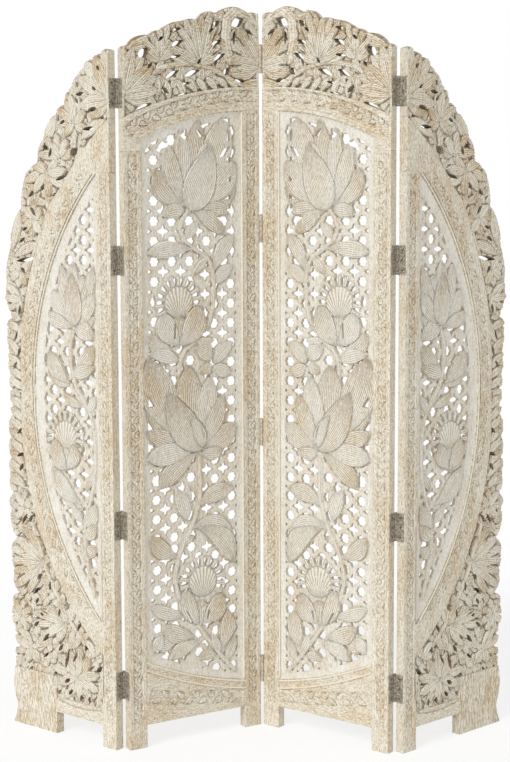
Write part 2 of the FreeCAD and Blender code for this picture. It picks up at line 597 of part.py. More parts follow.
def cross_face(centre):
    """Four-pointed hole."""
    reach = size("cross_reach").value
    shoulder = reach * CROSS_SHOULDER_SHARE
    lean = math.degrees(math.asin(CROSS_ARM_SHARE))
    spokes = []
    for step in range(4):
        spokes.append((step * 90.0 - lean, shoulder))
        spokes.append((step * 90.0, reach))
        spokes.append((step * 90.0 + lean, shoulder))
        spokes.append((step * 90.0 + 45.0, reach * CROSS_HEART_SHARE))
    return polygon_face(centre, spokes)


def lattice_faces(regions, zone):
    """Crosses and stars of the lattice, cut to the pierced zone."""
    pitch = size("lattice_pitch").value
    box = zone.BoundBox
    taken = []
    faces = []
    for first_across, first_up, left, low, right, high in regions:
        first = at((first_across, first_up))
        corner = at((left, low))
        far = at((right, high))
        columns = range(
            math.floor((box.XMin - first.x) / pitch), math.ceil((box.XMax - first.x) / pitch) + 1
        )
        rows = range(
            math.floor((box.ZMin - first.z) / pitch), math.ceil((box.ZMax - first.z) / pitch) + 1
        )
        here = []
        for column in columns:
            for row in rows:
                cross = first + Vector(column * pitch, 0, row * pitch)
                here.append((cross, cross_face))
                here.append((cross + Vector(pitch / 2, 0, pitch / 2), star_face))
        for centre, make in here:
            inside = corner.x <= centre.x < far.x and corner.z <= centre.z < far.z
            crowded = any((centre - other).Length < pitch * NEAREST_HOLE_SHARE for other in taken)
            if not inside or crowded:
                continue
            face = make(centre)
            if not box.intersect(face.BoundBox):
                continue
            within = all(zone.isInside(corner.Point, 0.0, True) for corner in face.Vertexes)
            if not within:
                face = face.common(zone)
            if face.Faces:
                faces.append(face)
                taken.append(centre)
    return faces


def uncovered(faces, covers, least):
    """What shows of each opening between the solid parts of the carving."""
    openings = []
    for face in faces:
        over = [cover for cover in covers if cover.BoundBox.intersect(face.BoundBox)]
        rest = face.cut(over) if over else face
        openings += [piece for piece in rest.Faces if piece.Area > least]
    return openings


def daisy_slots(centre):
    """Slots between the petals, left out where the calyx hides them."""
    inner = size("daisy_eye_radius").value
    outer = size("daisy_radius").value - size("daisy_rim").value
    slots = []
    for degrees in range(-20, 201, 20):
        angle = math.radians(degrees)
        ray = Vector(math.cos(angle), 0, math.sin(angle))
        slots.append(leaf_face(
            centre + ray * inner, centre + ray * outer, size("daisy_slot_width").value, 0.0
        ))
    return slots


def pierced_field(outline, zone, regions, leaf_table, stems, daisies):
    """Pierced board with its flowers, leaves and stems standing a little proud."""
    leaves = leaf_faces(leaf_table)
    stalks = [stem_face(stem, size("stem_width").value) for stem in stems]
    flowers = [disc_face(at(place), size("daisy_radius").value) for place in daisies]
    least = SMALLEST_HOLE_SHARE * size("lattice_pitch").value ** 2
    openings = uncovered(lattice_faces(regions, zone), leaves + stalks + flowers, least)
    slots = []
    for place in daisies:
        slots += uncovered(daisy_slots(at(place)), leaves, 0.0)
    rims = [wire_of(outline)] + [face.OuterWire for face in openings + slots]
    pierced = Part.makeFace(rims, "Part::FaceMakerBullseye")
    overlapping = leaves[0].multiFuse(leaves[1:] + stalks + flowers)
    carving = Part.Shell(overlapping.Faces).removeSplitter()
    raised = carving.common(zone).cut(slots)
    pierced.translate(Vector(0, field_front.value, 0))
    plate = pierced.extrude(Vector(0, field_depth.value, 0))
    raised.translate(Vector(0, field_front.value - size("relief_height").value, 0))
    relief = raised.extrude(Vector(0, size("relief_height").value, 0))
    return plate.fuse(relief.Solids).removeSplitter()


def carved_board(edges, holes_table, cutters):
    """Leaf board of full thickness with its piercings and joints cut."""
    face = Part.Face(Part.Wire(edges))
    holes = Part.makeCompound(leaf_faces(holes_table))
    solid = face.cut(holes).extrude(Vector(0, thickness.value, 0))
    return solid.cut(Part.makeCompound(cutters)).removeSplitter()


def scalloped_edges(start, table, end):
    """Arcs from cusp to cusp, each through the place between them."""
    places = [start] + [at(row) for row in table] + [end]
    edges = []
    for index in range(0, len(places) - 2, 2):
        cusp, through, following = places[index:index + 3]
        edges.append(Part.Arc(cusp, through, following).toShape())
    return edges


def line_edges(places):
    return [Part.LineSegment(one, other).toShape() for one, other in zip(places, places[1:])]


def flat_place(across, up):
    return Vector(across.value, 0, up.value)


def arc_edge(start, end, radius):
    return Part.Arc(start, arc_middle(start, end, radius.value), end).toShape()


def add_shape(label, shape, mirrored):
    """Carved piece as its own object; the right half is the left half's mirror image."""
    piece = doc.addObject("Part::Feature", label)
    piece.Label = label
    piece.Shape = shape.mirror(Vector(), Vector(1, 0, 0)) if mirrored else shape
    return piece


pieces = {}


def keep(panel, piece, seat=FreeCAD.Placement()):
    """Remember a piece and its seat in the flat panel."""
    pieces.setdefault(panel, []).append((piece, seat))


# Middle panels. Across runs from the outer hinge line to the centre line.

inner_far = width - inner_stile
rail_bottom = size("inner_rail_bottom")
rail_low = size("inner_rail_low")
rail_high = size("inner_rail_high")
rail_radius = size("inner_rail_radius")
inner_top = size("inner_stile_top")
centre_top = size("centre_stile_top")
arch_low = size("arch_opening_low")
arch_radius = size("arch_opening_radius")
arch_top_low = size("arch_top_low")
arch_top_high = size("arch_top_high")
arch_top_radius = size("arch_top_radius")
rail_tenon_low = size("rail_tenon_low")
rail_tenon_high = rail_tenon_low + size("rail_tenon_height")
inner_shoulder = (inner_stile - stile_tenon_width) * 0.5
arch_tongue = [
    (ZERO, arch_top_low, -arch_top_radius),
    (width, arch_top_high),
    (width, arch_top_high + tongue, arch_top_radius),
    (ZERO, arch_top_low + tongue),
]


def build_inner_stiles(panel, mirrored):
    """The two stiles, which run down into the legs."""
    body = new_body(f"{panel}_stile_outer")
    panel_pad(body, "post", rectangle(ZERO, ZERO, inner_stile, inner_top), ZERO, thickness, mirrored)
    head = rectangle(
        inner_shoulder, inner_top, inner_stile - inner_shoulder, inner_top + stile_tenon
    )
    panel_pad(body, "tenon", head, joint_front, joint, mirrored)
    slot = rectangle(inner_stile - groove, rail_high, inner_stile, inner_top)
    panel_pocket(body, "groove", slot, field_front, field_depth, mirrored)
    mortise = rectangle(inner_stile - tenon, rail_tenon_low, inner_stile, rail_tenon_high)
    panel_pocket(body, "mortise", mortise, joint_front, joint, mirrored)
    stile_screw_holes(body, "screws", ZERO, screw_row_behind, SIDE_HINGES[:3], not mirrored)
    keep(panel, body)

    body = new_body(f"{panel}_stile_centre")
    panel_pad(body, "post", rectangle(inner_far, ZERO, width, centre_top), ZERO, thickness, mirrored)
    head = rectangle(
        inner_far + inner_shoulder, centre_top, width - inner_shoulder, centre_top + stile_tenon
    )
    panel_pad(body, "tenon", head, joint_front, joint, mirrored)
    slot = rectangle(inner_far, rail_low, inner_far + groove, centre_top)
    panel_pocket(body, "groove", slot, field_front, field_depth, mirrored)
    mortise = rectangle(inner_far, rail_tenon_low, inner_far + tenon, rail_tenon_high)
    panel_pocket(body, "mortise", mortise, joint_front, joint, mirrored)
    edge = -width if mirrored else width
    stile_screw_holes(body, "screws", edge, screw_row_ahead, CENTRE_HINGES[:3], mirrored)
    keep(panel, body)


def build_inner_rails(panel, mirrored):
    """Bottom rail with its hollow top edge, and the rising arch rail."""
    body = new_body(f"{panel}_bottom_rail")
    outline = [
        (inner_stile, rail_bottom),
        (inner_far, rail_bottom),
        (inner_far, rail_low, -rail_radius),
        (inner_stile, rail_high),
    ]
    panel_pad(body, "rail", outline, ZERO, thickness, mirrored)
    left = rectangle(inner_stile - tenon, rail_tenon_low, inner_stile, rail_tenon_high)
    panel_pad(body, "tenon_outer", left, joint_front, joint, mirrored)
    right = rectangle(inner_far, rail_tenon_low, inner_far + tenon, rail_tenon_high)
    panel_pad(body, "tenon_centre", right, joint_front, joint, mirrored)
    slot = [
        (inner_stile, rail_high - groove, rail_radius),
        (inner_far, rail_low - groove),
        (inner_far, rail_low, -rail_radius),
        (inner_stile, rail_high),
    ]
    panel_pocket(body, "groove", slot, field_front, field_depth, mirrored)
    keep(panel, body)

    body = new_body(f"{panel}_arch_rail")
    outline = [
        (ZERO, inner_top),
        (inner_stile, inner_top),
        (inner_stile, arch_low, -arch_radius),
        (inner_far, centre_top),
        (width, centre_top),
        (width, arch_top_high, arch_top_radius),
        (ZERO, arch_top_low),
    ]
    panel_pad(body, "rail", outline, ZERO, thickness, mirrored)
    panel_pad(body, "tongue", arch_tongue, joint_front, joint, mirrored)
    slot = [
        (inner_stile, arch_low, -arch_radius),
        (inner_far, centre_top),
        (inner_far, centre_top + groove, arch_radius),
        (inner_stile, arch_low + groove),
    ]
    panel_pocket(body, "groove", slot, field_front, field_depth, mirrored)
    head = rectangle(
        inner_shoulder, inner_top, inner_stile - inner_shoulder, inner_top + stile_tenon
    )
    panel_pocket(body, "mortise_outer", head, joint_front, joint, mirrored)
    head = rectangle(
        inner_far + inner_shoulder, centre_top, width - inner_shoulder, centre_top + stile_tenon
    )
    panel_pocket(body, "mortise_centre", head, joint_front, joint, mirrored)
    keep(panel, body)


def build_crest():
    """Pierced crest of leaves over the arch rail."""
    side = flat_place(ZERO, size("crest_side_height"))
    centre = flat_place(width, size("crest_centre_height"))
    foot = flat_place(width, arch_top_high)
    heel = flat_place(ZERO, arch_top_low)
    edges = line_edges([heel, side])
    edges += scalloped_edges(side, CREST_EDGE_SHARES, centre)
    edges += line_edges([centre, foot])
    edges.append(arc_edge(foot, heel, arch_top_radius))
    cutters = [board(arch_tongue, joint_front, joint)]
    cutters += screw_cylinders(ZERO, screw_row_behind, SIDE_HINGES[3], 1)
    cutters += screw_cylinders(width, screw_row_ahead, CENTRE_HINGES[3], -1)
    return carved_board(edges, CREST_HOLE_SHARES, cutters)


def build_inner_field():
    """Jali of a middle panel, held by tongues in the grooves of its frame."""
    reach = groove - slack
    outline = [
        (inner_stile - reach, rail_high + slack),
        (inner_stile, rail_high + slack),
        (inner_stile, rail_high - reach, rail_radius),
        (inner_far, rail_low - reach),
        (inner_far, rail_low + slack),
        (inner_far + reach, rail_low + slack),
        (inner_far + reach, centre_top - slack),
        (inner_far, centre_top - slack),
        (inner_far, centre_top + reach, arch_radius),
        (inner_stile, arch_low + reach),
        (inner_stile, inner_top - slack),
        (inner_stile - reach, inner_top - slack),
    ]
    border = size("field_border")
    tall = [
        (inner_stile, rail_high + border, rail_radius),
        (inner_far, rail_low + border),
        (inner_far, centre_top - border, arch_radius),
        (inner_stile, arch_low - border),
    ]
    narrow = rectangle(inner_stile + border, rail_bottom, inner_far - border, arch_top_high)
    zone = front_face(wire_of(tall)).common(front_face(wire_of(narrow))).Faces[0]
    stems = [INNER_UPPER_STEM_SHARES, INNER_LOWER_STEM_SHARES]
    return pierced_field(
        outline, zone, INNER_LATTICE_SHARES, INNER_LEAF_SHARES, stems, INNER_DAISY_SHARES
    )


# End panels. Across runs from the outer hinge line to the free edge.

outer_top = size("outer_stile_top")
opening_reach = size("band_opening_reach")
band_reach = size("band_reach")
opening_low = size("band_opening_low")
band_low = size("band_low")
opening_upper = size("band_opening_upper_radius")
opening_lower = size("band_opening_lower_radius")
band_upper = size("band_upper_radius")
band_lower = size("band_lower_radius")
toe_bottom = size("outer_rail_bottom")
toe_top = size("outer_rail_top")
toe_tenon_low = size("toe_tenon_low")
toe_tenon_high = toe_tenon_low + size("toe_tenon_height")
band_tenon_low = size("band_tenon_low")
band_tenon_high = band_tenon_low + size("band_tenon_height")
foot_start = size("foot_start")
foot_height = size("foot_height")
foot_top_reach = size("foot_top_reach")
board_reach = size("leaf_board_reach")
outer_shoulder = (outer_stile - stile_tenon_width) * 0.5
scarf_width = size("scarf_tenon_width")
scarf_start = (opening_reach + band_reach - scarf_width) * 0.5
scarf = rectangle(
    scarf_start, split - size("scarf_tenon_length"), scarf_start + scarf_width, split
)
stile_head = rectangle(
    outer_shoulder, outer_top, outer_stile - outer_shoulder, outer_top + stile_tenon
)
band_tenon = rectangle(outer_stile - tenon, band_tenon_low, outer_stile, band_tenon_high)
rail_tenon_stile = rectangle(outer_stile - tenon, toe_tenon_low, outer_stile, toe_tenon_high)
rail_tenon_foot = rectangle(foot_start, toe_tenon_low, foot_start + tenon, toe_tenon_high)
foot_tenon_start = size("foot_tenon_start")
foot_tenon = rectangle(
    foot_tenon_start, foot_height, foot_tenon_start + size("foot_tenon_width"), foot_height + tenon
)
upper_tongue = [
    (band_reach, split),
    (band_reach + tongue, split, band_upper),
    (tongue, arch_top_low),
    (ZERO, arch_top_low, -band_upper),
]
lower_tongue = [
    (outer_stile, band_low),
    (outer_stile + tongue, band_low, band_lower),
    (band_reach + tongue, split),
    (band_reach, split, -band_lower),
]


def build_outer_frame(panel, mirrored):
    """Hinge-side stile, bottom rail and wide wavy foot."""
    body = new_body(f"{panel}_stile")
    panel_pad(body, "post", rectangle(ZERO, ZERO, outer_stile, outer_top), ZERO, thickness, mirrored)
    panel_pad(body, "tenon", stile_head, joint_front, joint, mirrored)
    slot = rectangle(outer_stile - groove, opening_low, outer_stile, outer_top)
    panel_pocket(body, "groove", slot, field_front, field_depth, mirrored)
    panel_pocket(body, "mortise_rail", rail_tenon_stile, joint_front, joint, mirrored)
    panel_pocket(body, "mortise_band", band_tenon, joint_front, joint, mirrored)
    stile_screw_holes(body, "screws", ZERO, screw_row_behind, SIDE_HINGES[:3], not mirrored)
    keep(panel, body)

    body = new_body(f"{panel}_bottom_rail")
    outline = rectangle(outer_stile, toe_bottom, foot_start, toe_top)
    panel_pad(body, "rail", outline, ZERO, thickness, mirrored)
    panel_pad(body, "tenon_stile", rail_tenon_stile, joint_front, joint, mirrored)
    panel_pad(body, "tenon_foot", rail_tenon_foot, joint_front, joint, mirrored)
    keep(panel, body)

    body = new_body(f"{panel}_foot")
    outline = [
        (foot_start, ZERO),
        (size("foot_reach"), ZERO, -size("foot_waist_radius")),
        (size("foot_waist_reach"), size("foot_waist_height"), size("foot_calf_radius")),
        (foot_top_reach, foot_height),
        (foot_start, foot_height),
    ]
    panel_pad(body, "block", outline, ZERO, thickness, mirrored)
    panel_pad(body, "tenon", foot_tenon, joint_front, joint, mirrored)
    panel_pocket(body, "mortise", rail_tenon_foot, joint_front, joint, mirrored)
    keep(panel, body)


def build_outer_bands(panel, mirrored):
    """Two halves of the curved band round the lens-shaped field."""
    body = new_body(f"{panel}_band_upper")
    outline = [
        (ZERO, outer_top),
        (outer_stile, outer_top, -opening_upper),
        (opening_reach, split),
        (band_reach, split, band_upper),
        (ZERO, arch_top_low),
    ]
    panel_pad(body, "band", outline, ZERO, thickness, mirrored)
    panel_pad(body, "tongue", upper_tongue, joint_front, joint, mirrored)
    panel_pad(body, "tenon", scarf, joint_front, joint, mirrored)
    slot = [
        (outer_stile, outer_top, -opening_upper),
        (opening_reach, split),
        (opening_reach + groove, split, opening_upper),
        (outer_stile + groove, outer_top),
    ]
    panel_pocket(body, "groove", slot, field_front, field_depth, mirrored)
    panel_pocket(body, "mortise", stile_head, joint_front, joint, mirrored)
    keep(panel, body)

    body = new_body(f"{panel}_band_lower")
    outline = [
        (outer_stile, band_low, band_lower),
        (band_reach, split),
        (opening_reach, split, -opening_lower),
        (outer_stile, opening_low),
    ]
    panel_pad(body, "band", outline, ZERO, thickness, mirrored)
    panel_pad(body, "tongue", lower_tongue, joint_front, joint, mirrored)
    panel_pad(body, "tenon", band_tenon, joint_front, joint, mirrored)
    slot = [
        (outer_stile + groove, opening_low, opening_lower),
        (opening_reach + groove, split),
        (opening_reach, split, -opening_lower),
        (outer_stile, opening_low),
    ]
    panel_pocket(body, "groove", slot, field_front, field_depth, mirrored)
    panel_pocket(body, "mortise", scarf, joint_front, joint, mirrored)
    keep(panel, body)


def build_leaf_boards():
    """Upper and lower boards of carved leaves outside the band."""
    top = flat_place(ZERO, size("leaf_board_height"))
    free = flat_place(board_reach, split)
    seam = flat_place(band_reach, split)
    heel = flat_place(ZERO, arch_top_low)
    edges = line_edges([heel, top])
    edges += scalloped_edges(top, UPPER_EDGE_SHARES, free)
    edges += line_edges([free, seam])
    edges.append(arc_edge(seam, heel, band_upper))
    cutters = [board(upper_tongue, joint_front, joint)]
    cutters += screw_cylinders(ZERO, screw_row_behind, SIDE_HINGES[3], 1)
    upper = carved_board(edges, UPPER_HOLE_SHARES, cutters)

    ankle = flat_place(foot_top_reach, foot_height)
    edges = scalloped_edges(free, LOWER_EDGE_SHARES, ankle)
    corner = flat_place(outer_stile, band_low)
    edges += line_edges([
        ankle,
        flat_place(foot_start, foot_height),
        flat_place(foot_start, toe_top),
        flat_place(outer_stile, toe_top),
        corner,
    ])
    edges.append(arc_edge(corner, seam, band_lower))
    edges += line_edges([seam, free])
    cutters = [board(lower_tongue, joint_front, joint), board(foot_tenon, joint_front, joint)]
    return upper, carved_board(edges, LOWER_HOLE_SHARES, cutters)


def build_outer_field():
    """Jali of an end panel in its lens-shaped opening."""
    reach = groove - slack
    outline = [
        (outer_stile - reach, opening_low + slack),
        (outer_stile, opening_low + slack),
        (outer_stile, opening_low),
        (outer_stile + reach, opening_low, opening_lower),
        (opening_reach + reach, split, opening_upper),
        (outer_stile + reach, outer_top),
        (outer_stile, outer_top),
        (outer_stile, outer_top - slack),
        (outer_stile - reach, outer_top - slack),
    ]
    border = size("lens_border")
    lens = [
        (outer_stile - border, opening_low, opening_lower),
        (opening_reach - border, split, opening_upper),
        (outer_stile - border, outer_top),
    ]
    start = outer_stile + size("lens_stile_border")
    strip = rectangle(start, opening_low, opening_reach, outer_top)
    zone = front_face(wire_of(lens)).common(front_face(wire_of(strip))).Faces[0]
    return pierced_field(
        outline, zone, OUTER_LATTICE_SHARES, OUTER_LEAF_SHARES, [OUTER_STEM_SHARES],
        OUTER_DAISY_SHARES,
    )


# Hinges, drawn round their own pin: the wood is on +x and the leaf runs towards -y.

hinge_height = size("hinge_height")
half_hinge = hinge_height * 0.5
barrel = size("barrel_radius")
half_gap = size("panel_gap") * 0.5
leaf_face_place = half_gap - leaf_thickness
leaf_end = axis_offset + thickness - size("leaf_inset")
leaf_clear = barrel + size("barrel_clearance")
knuckle_gap = size("knuckle_gap")
pin_radius = size("pin_radius")
screw_depth = size("screw_depth")
KNUCKLE_SHARES = {"pin": [(-0.5, -0.3), (-0.1, 0.1), (0.3, 0.5)], "far": [(-0.3, -0.1), (0.1, 0.3)]}


def flat_sketch_pad(body, name, corners, low, rise):
    sketch = add_sketch(body, name, "XY_Plane", low, False)
    draw_outline(sketch, corners)
    pad = body.newObject("PartDesign::Pad", f"{body.Name}_{name}_pad")
    pad.Profile = sketch
    pad.setExpression("Length", rise.text)


def round_sketch_pad(body, name, radius, low, rise):
    sketch = add_sketch(body, name, "XY_Plane", low, False)
    draw_circles(sketch, [(ZERO, ZERO, radius)])
    pad = body.newObject("PartDesign::Pad", f"{body.Name}_{name}_pad")
    pad.Profile = sketch
    pad.setExpression("Length", rise.text)


def build_hinge_leaf(kind):
    """Leaf let onto a panel's edge, with its knuckles, bore and countersunk holes."""
    body = new_body(f"pattern_leaf_{kind}")
    plate = rectangle(leaf_face_place, -leaf_end, half_gap, -leaf_clear)
    flat_sketch_pad(body, "plate", plate, -half_hinge, hinge_height)
    trim = ZERO if kind == "pin" else knuckle_gap
    for index, (low_share, high_share) in enumerate(KNUCKLE_SHARES[kind]):
        low = hinge_height * low_share + trim
        rise = hinge_height * (high_share - low_share) - trim - trim
        tab = rectangle(leaf_face_place, -leaf_clear, half_gap, ZERO)
        flat_sketch_pad(body, f"tab{index}", tab, low, rise)
        round_sketch_pad(body, f"knuckle{index}", barrel, low, rise)
    sketch = add_sketch(body, "bore", "XY_Plane", half_hinge, False)
    draw_circles(sketch, [(ZERO, ZERO, pin_radius + size("pin_clearance"))])
    bore = body.newObject("PartDesign::Pocket", f"{body.Name}_bore_pocket")
    bore.Profile = sketch
    bore.setExpression("Length", hinge_height.text)
    head = size("screw_head_radius")
    sink = head - screw_radius
    for index, place in enumerate((-screw_spacing, ZERO, screw_spacing)):
        sketch = add_sketch(body, f"screw{index}", "XY_Plane", place, False)
        sketch.setExpression(".AttachmentOffset.Base.y", (-screw_depth).text)
        draw_outline(sketch, [
            (leaf_face_place, ZERO),
            (half_gap, ZERO),
            (half_gap, screw_radius),
            (leaf_face_place + sink, screw_radius),
            (leaf_face_place, head),
        ])
        groove_feature = body.newObject("PartDesign::Groove", f"{body.Name}_screw{index}_groove")
        groove_feature.Profile = sketch
        groove_feature.ReferenceAxis = (sketch, ["H_Axis"])
        groove_feature.Angle = 360.0
    return body


def build_screw():
    """Countersunk screw along +x, its head's face at zero."""
    body = new_body("pattern_screw")
    sketch = add_sketch(body, "profile", "XY_Plane", ZERO, False)
    head = size("screw_head_radius")
    draw_outline(sketch, [
        (ZERO, ZERO),
        (screw_length, ZERO),
        (screw_length, screw_radius),
        (head - screw_radius, screw_radius),
        (ZERO, head),
    ])
    turn = body.newObject("PartDesign::Revolution", "pattern_screw_turn")
    turn.Profile = sketch
    turn.ReferenceAxis = (sketch, ["H_Axis"])
    turn.Angle = 360.0
    return body


def build_pin():
    """Pin whose head rests on the top knuckle."""
    body = new_body("pattern_pin")
    round_sketch_pad(body, "shank", pin_radius, -half_hinge, hinge_height)
    round_sketch_pad(body, "head", size("pin_head_radius"), half_hinge, size("pin_head_height"))
    return body


# Build every panel flat.

for panel, mirrored in (("inner_left", False), ("inner_right", True)):
    build_inner_stiles(panel, mirrored)
    build_inner_rails(panel, mirrored)
for panel, mirrored in (("outer_left", True), ("outer_right", False)):
    build_outer_frame(panel, mirrored)
    build_outer_bands(panel, mirrored)
pattern_leaves = {kind: build_hinge_leaf(kind) for kind in KNUCKLE_SHARES}
pattern_screw = build_screw()
pattern_pin = build_pin()
doc.recompute()

crest = build_crest()
inner_field = build_inner_field()
for panel, mirrored in (("inner_left", False), ("inner_right", True)):
    keep(panel, add_shape(f"{panel}_crest", crest, mirrored))
    keep(panel, add_shape(f"{panel}_jali_field", inner_field, mirrored))
upper_board, lower_board = build_leaf_boards()
outer_field = build_outer_field()
for panel, mirrored in (("outer_left", True), ("outer_right", False)):
    keep(panel, add_shape(f"{panel}_leaf_board_upper", upper_board, mirrored))
    keep(panel, add_shape(f"{panel}_leaf_board_lower", lower_board, mirrored))
    keep(panel, add_shape(f"{panel}_jali_field", outer_field, mirrored))

# Where the hinge pins stand in each flat panel, with the turns that bring a hinge leaf there:
# (axis across, axis depth, rotation of the leaf).
as_drawn = Rotation()
about_y = Rotation(Vector(0, 1, 0), 180)
about_z = Rotation(Vector(0, 0, 1), 180)
about_x = Rotation(Vector(1, 0, 0), 180)
behind = (thickness + axis_offset).value
ahead = (-axis_offset).value
beyond = half_gap.value
centre_axis = (width + half_gap).value
LEAF_SEATS = {
    ("outer_left", "left"): (beyond, behind, about_y, "far"),
    ("inner_left", "left"): (-beyond, behind, as_drawn, "pin"),
    ("inner_left", "centre"): (centre_axis, ahead, about_z, "pin"),
    ("inner_right", "centre"): (-centre_axis, ahead, about_x, "far"),
    ("inner_right", "right"): (beyond, behind, about_y, "pin"),
    ("outer_right", "right"): (-beyond, behind, as_drawn, "far"),
}
HINGE_HEIGHTS = {"left": SIDE_HINGES, "centre": CENTRE_HINGES, "right": SIDE_HINGES}

screws = {}
pins = {}
for (panel, line), (across, depth, turn, kind) in LEAF_SEATS.items():
    for number, hinge in enumerate(HINGE_HEIGHTS[line], 1):
        seat = Vector(across, depth, hinge.value)
        leaf = doc.addObject("Part::Feature", f"{panel}_{line}_hinge_leaf_{number}")
        leaf.Label = leaf.Name
        leaf.Shape = pattern_leaves[kind].Shape.copy()
        keep(panel, leaf, FreeCAD.Placement(seat, turn))
        for place in (-screw_spacing.value, 0, screw_spacing.value):
            start = seat + turn.multVec(Vector(leaf_face_place.value, -screw_depth.value, place))
            screws.setdefault(panel, []).append(
                pattern_screw.Shape.copy().transformed(FreeCAD.Placement(start, turn).toMatrix())
            )
        if kind == "pin":
            upright = FreeCAD.Placement(seat, Rotation())
            pins.setdefault(panel, []).append(
                pattern_pin.Shape.copy().transformed(upright.toMatrix())
            )
for panel, copies in screws.items():
    keep(panel, add_shape(f"{panel}_hinge_screws", Part.makeCompound(copies), False))
for panel, copies in pins.items():
    keep(panel, add_shape(f"{panel}_hinge_pins", Part.makeCompound(copies), False))

# Stand the screen up in its zigzag: the centre line's pins first, then the outer lines'.


def stand(turn_degrees, flat_axis, standing_axis):
    """Placement that turns a flat panel and brings one of its pins to where it stands."""
    turn = Rotation(Vector(0, 0, 1), turn_degrees)
    return FreeCAD.Placement(standing_axis - turn.multVec(flat_axis), turn)


def flat_axis(panel, line):
    across, depth, _, _ = LEAF_SEATS[(panel, line)]
    return Vector(across, depth, 0)


standing = {
    "inner_left": stand(INNER_LEFT_TURN, flat_axis("inner_left", "centre"), Vector()),
    "inner_right": stand(INNER_RIGHT_TURN, flat_axis("inner_right", "centre"), Vector()),
}
left_axis = standing["inner_left"].multVec(flat_axis("inner_left", "left"))
right_axis = standing["inner_right"].multVec(flat_axis("inner_right", "right"))
standing["outer_left"] = stand(OUTER_LEFT_TURN, flat_axis("outer_left", "left"), left_axis)
standing["outer_right"] = stand(OUTER_RIGHT_TURN, flat_axis("outer_right", "right"), right_axis)

for panel, members in pieces.items():
    for piece, seat in members:
        piece.Placement = standing[panel].multiply(seat)
doc.recompute()

# The frame's origin is under the middle of the whole screen.
extent = FreeCAD.BoundBox()
for members in pieces.values():
    for piece, _ in members:
        extent.add(piece.Shape.BoundBox)
to_middle = Vector(-extent.Center.x, -extent.Center.y, 0)
for panel, members in pieces.items():
    centred = FreeCAD.Placement(standing[panel].Base + to_middle, standing[panel].Rotation)
    for piece, seat in members:
        piece.Placement = centred.multiply(seat)
doc.recompute()

for item in doc.Objects:
    if "Invalid" in item.State or "Error" in item.State:
        raise RuntimeError(f"{item.Label} failed: {item.State}")

os.makedirs("parts", exist_ok=True)
for members in pieces.values():
    for piece, _ in members:
        if piece.Shape.isNull() or not piece.Shape.isValid() or not piece.Shape.Solids:
            raise RuntimeError(f"{piece.Label} is not a valid solid")
        piece.Shape.exportStep(f"parts/{piece.Label}.step")

for line, axis in (("left", left_axis), ("centre", Vector()), ("right", right_axis)):
    place = axis + to_middle
    print(f"{line} pin line at {place.x:.4f} {place.y:.4f}")
print(f"screen {extent.XLength:.2f} x {extent.YLength:.2f} x {extent.ZLength:.2f} mm")
for members in pieces.values():
    for piece, _ in members:
        print(piece.Label, len(piece.Shape.Solids), round(piece.Shape.Volume))
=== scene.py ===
import json
import math

import bpy
import numpy as np
from mathutils import Euler, Matrix, Vector, geometry


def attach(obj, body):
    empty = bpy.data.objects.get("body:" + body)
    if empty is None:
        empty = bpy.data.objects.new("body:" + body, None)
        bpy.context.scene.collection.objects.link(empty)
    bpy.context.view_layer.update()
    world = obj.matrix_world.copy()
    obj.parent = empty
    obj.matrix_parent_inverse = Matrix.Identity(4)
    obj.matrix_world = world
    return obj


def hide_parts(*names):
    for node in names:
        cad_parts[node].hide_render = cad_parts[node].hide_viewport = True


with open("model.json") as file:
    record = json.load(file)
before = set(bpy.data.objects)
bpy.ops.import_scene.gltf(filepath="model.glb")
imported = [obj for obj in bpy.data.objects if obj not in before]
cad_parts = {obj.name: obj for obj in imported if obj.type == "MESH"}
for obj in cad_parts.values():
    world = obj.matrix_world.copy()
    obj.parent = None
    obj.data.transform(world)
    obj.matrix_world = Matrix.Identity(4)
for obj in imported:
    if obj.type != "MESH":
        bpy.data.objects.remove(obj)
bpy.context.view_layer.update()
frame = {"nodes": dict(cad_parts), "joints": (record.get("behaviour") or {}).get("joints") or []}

# The screen stands in a zigzag of four flat panels, each turned about its hinge line.
# Carved pieces are drawn flat in millimetres: across from the panel's outer hinge line,
# back from its carved face, and up from the floor. They are then set up in their panel.
METRE = 1000.0
PANEL_WIDTH = 381.0
PANEL_THICKNESS = 24.0
PIN_BESIDE = 2.0
PIN_BEHIND = 27.4
PANEL_SEATS = {
    "outer_left": {"turn": -38.0, "mirrored": True, "line": "left_hinge_line"},
    "inner_left": {"turn": 32.5, "mirrored": False, "line": "left_hinge_line"},
    "inner_right": {"turn": -36.5, "mirrored": True, "line": "right_hinge_line"},
    "outer_right": {"turn": 42.5, "mirrored": False, "line": "right_hinge_line"},
}
INNER_PANELS = ("inner_left", "inner_right")
OUTER_PANELS = ("outer_left", "outer_right")
HINGE_LINES = {joint["name"]: joint["pos_m"] for joint in frame["joints"]}


def set_up(panel, places):
    """Stand flat places (across, back, up in millimetres) up in their panel, in metres."""
    seat = PANEL_SEATS[panel]
    across, back, up = (np.array(places, float) / METRE).T
    across = (across + PIN_BESIDE / METRE) * (-1 if seat["mirrored"] else 1)
    back = back - PIN_BEHIND / METRE
    turn = math.radians(seat["turn"])
    line = HINGE_LINES[seat["line"]]
    return np.column_stack([
        math.cos(turn) * across - math.sin(turn) * back + line[0],
        math.sin(turn) * across + math.cos(turn) * back + line[1],
        up,
    ])


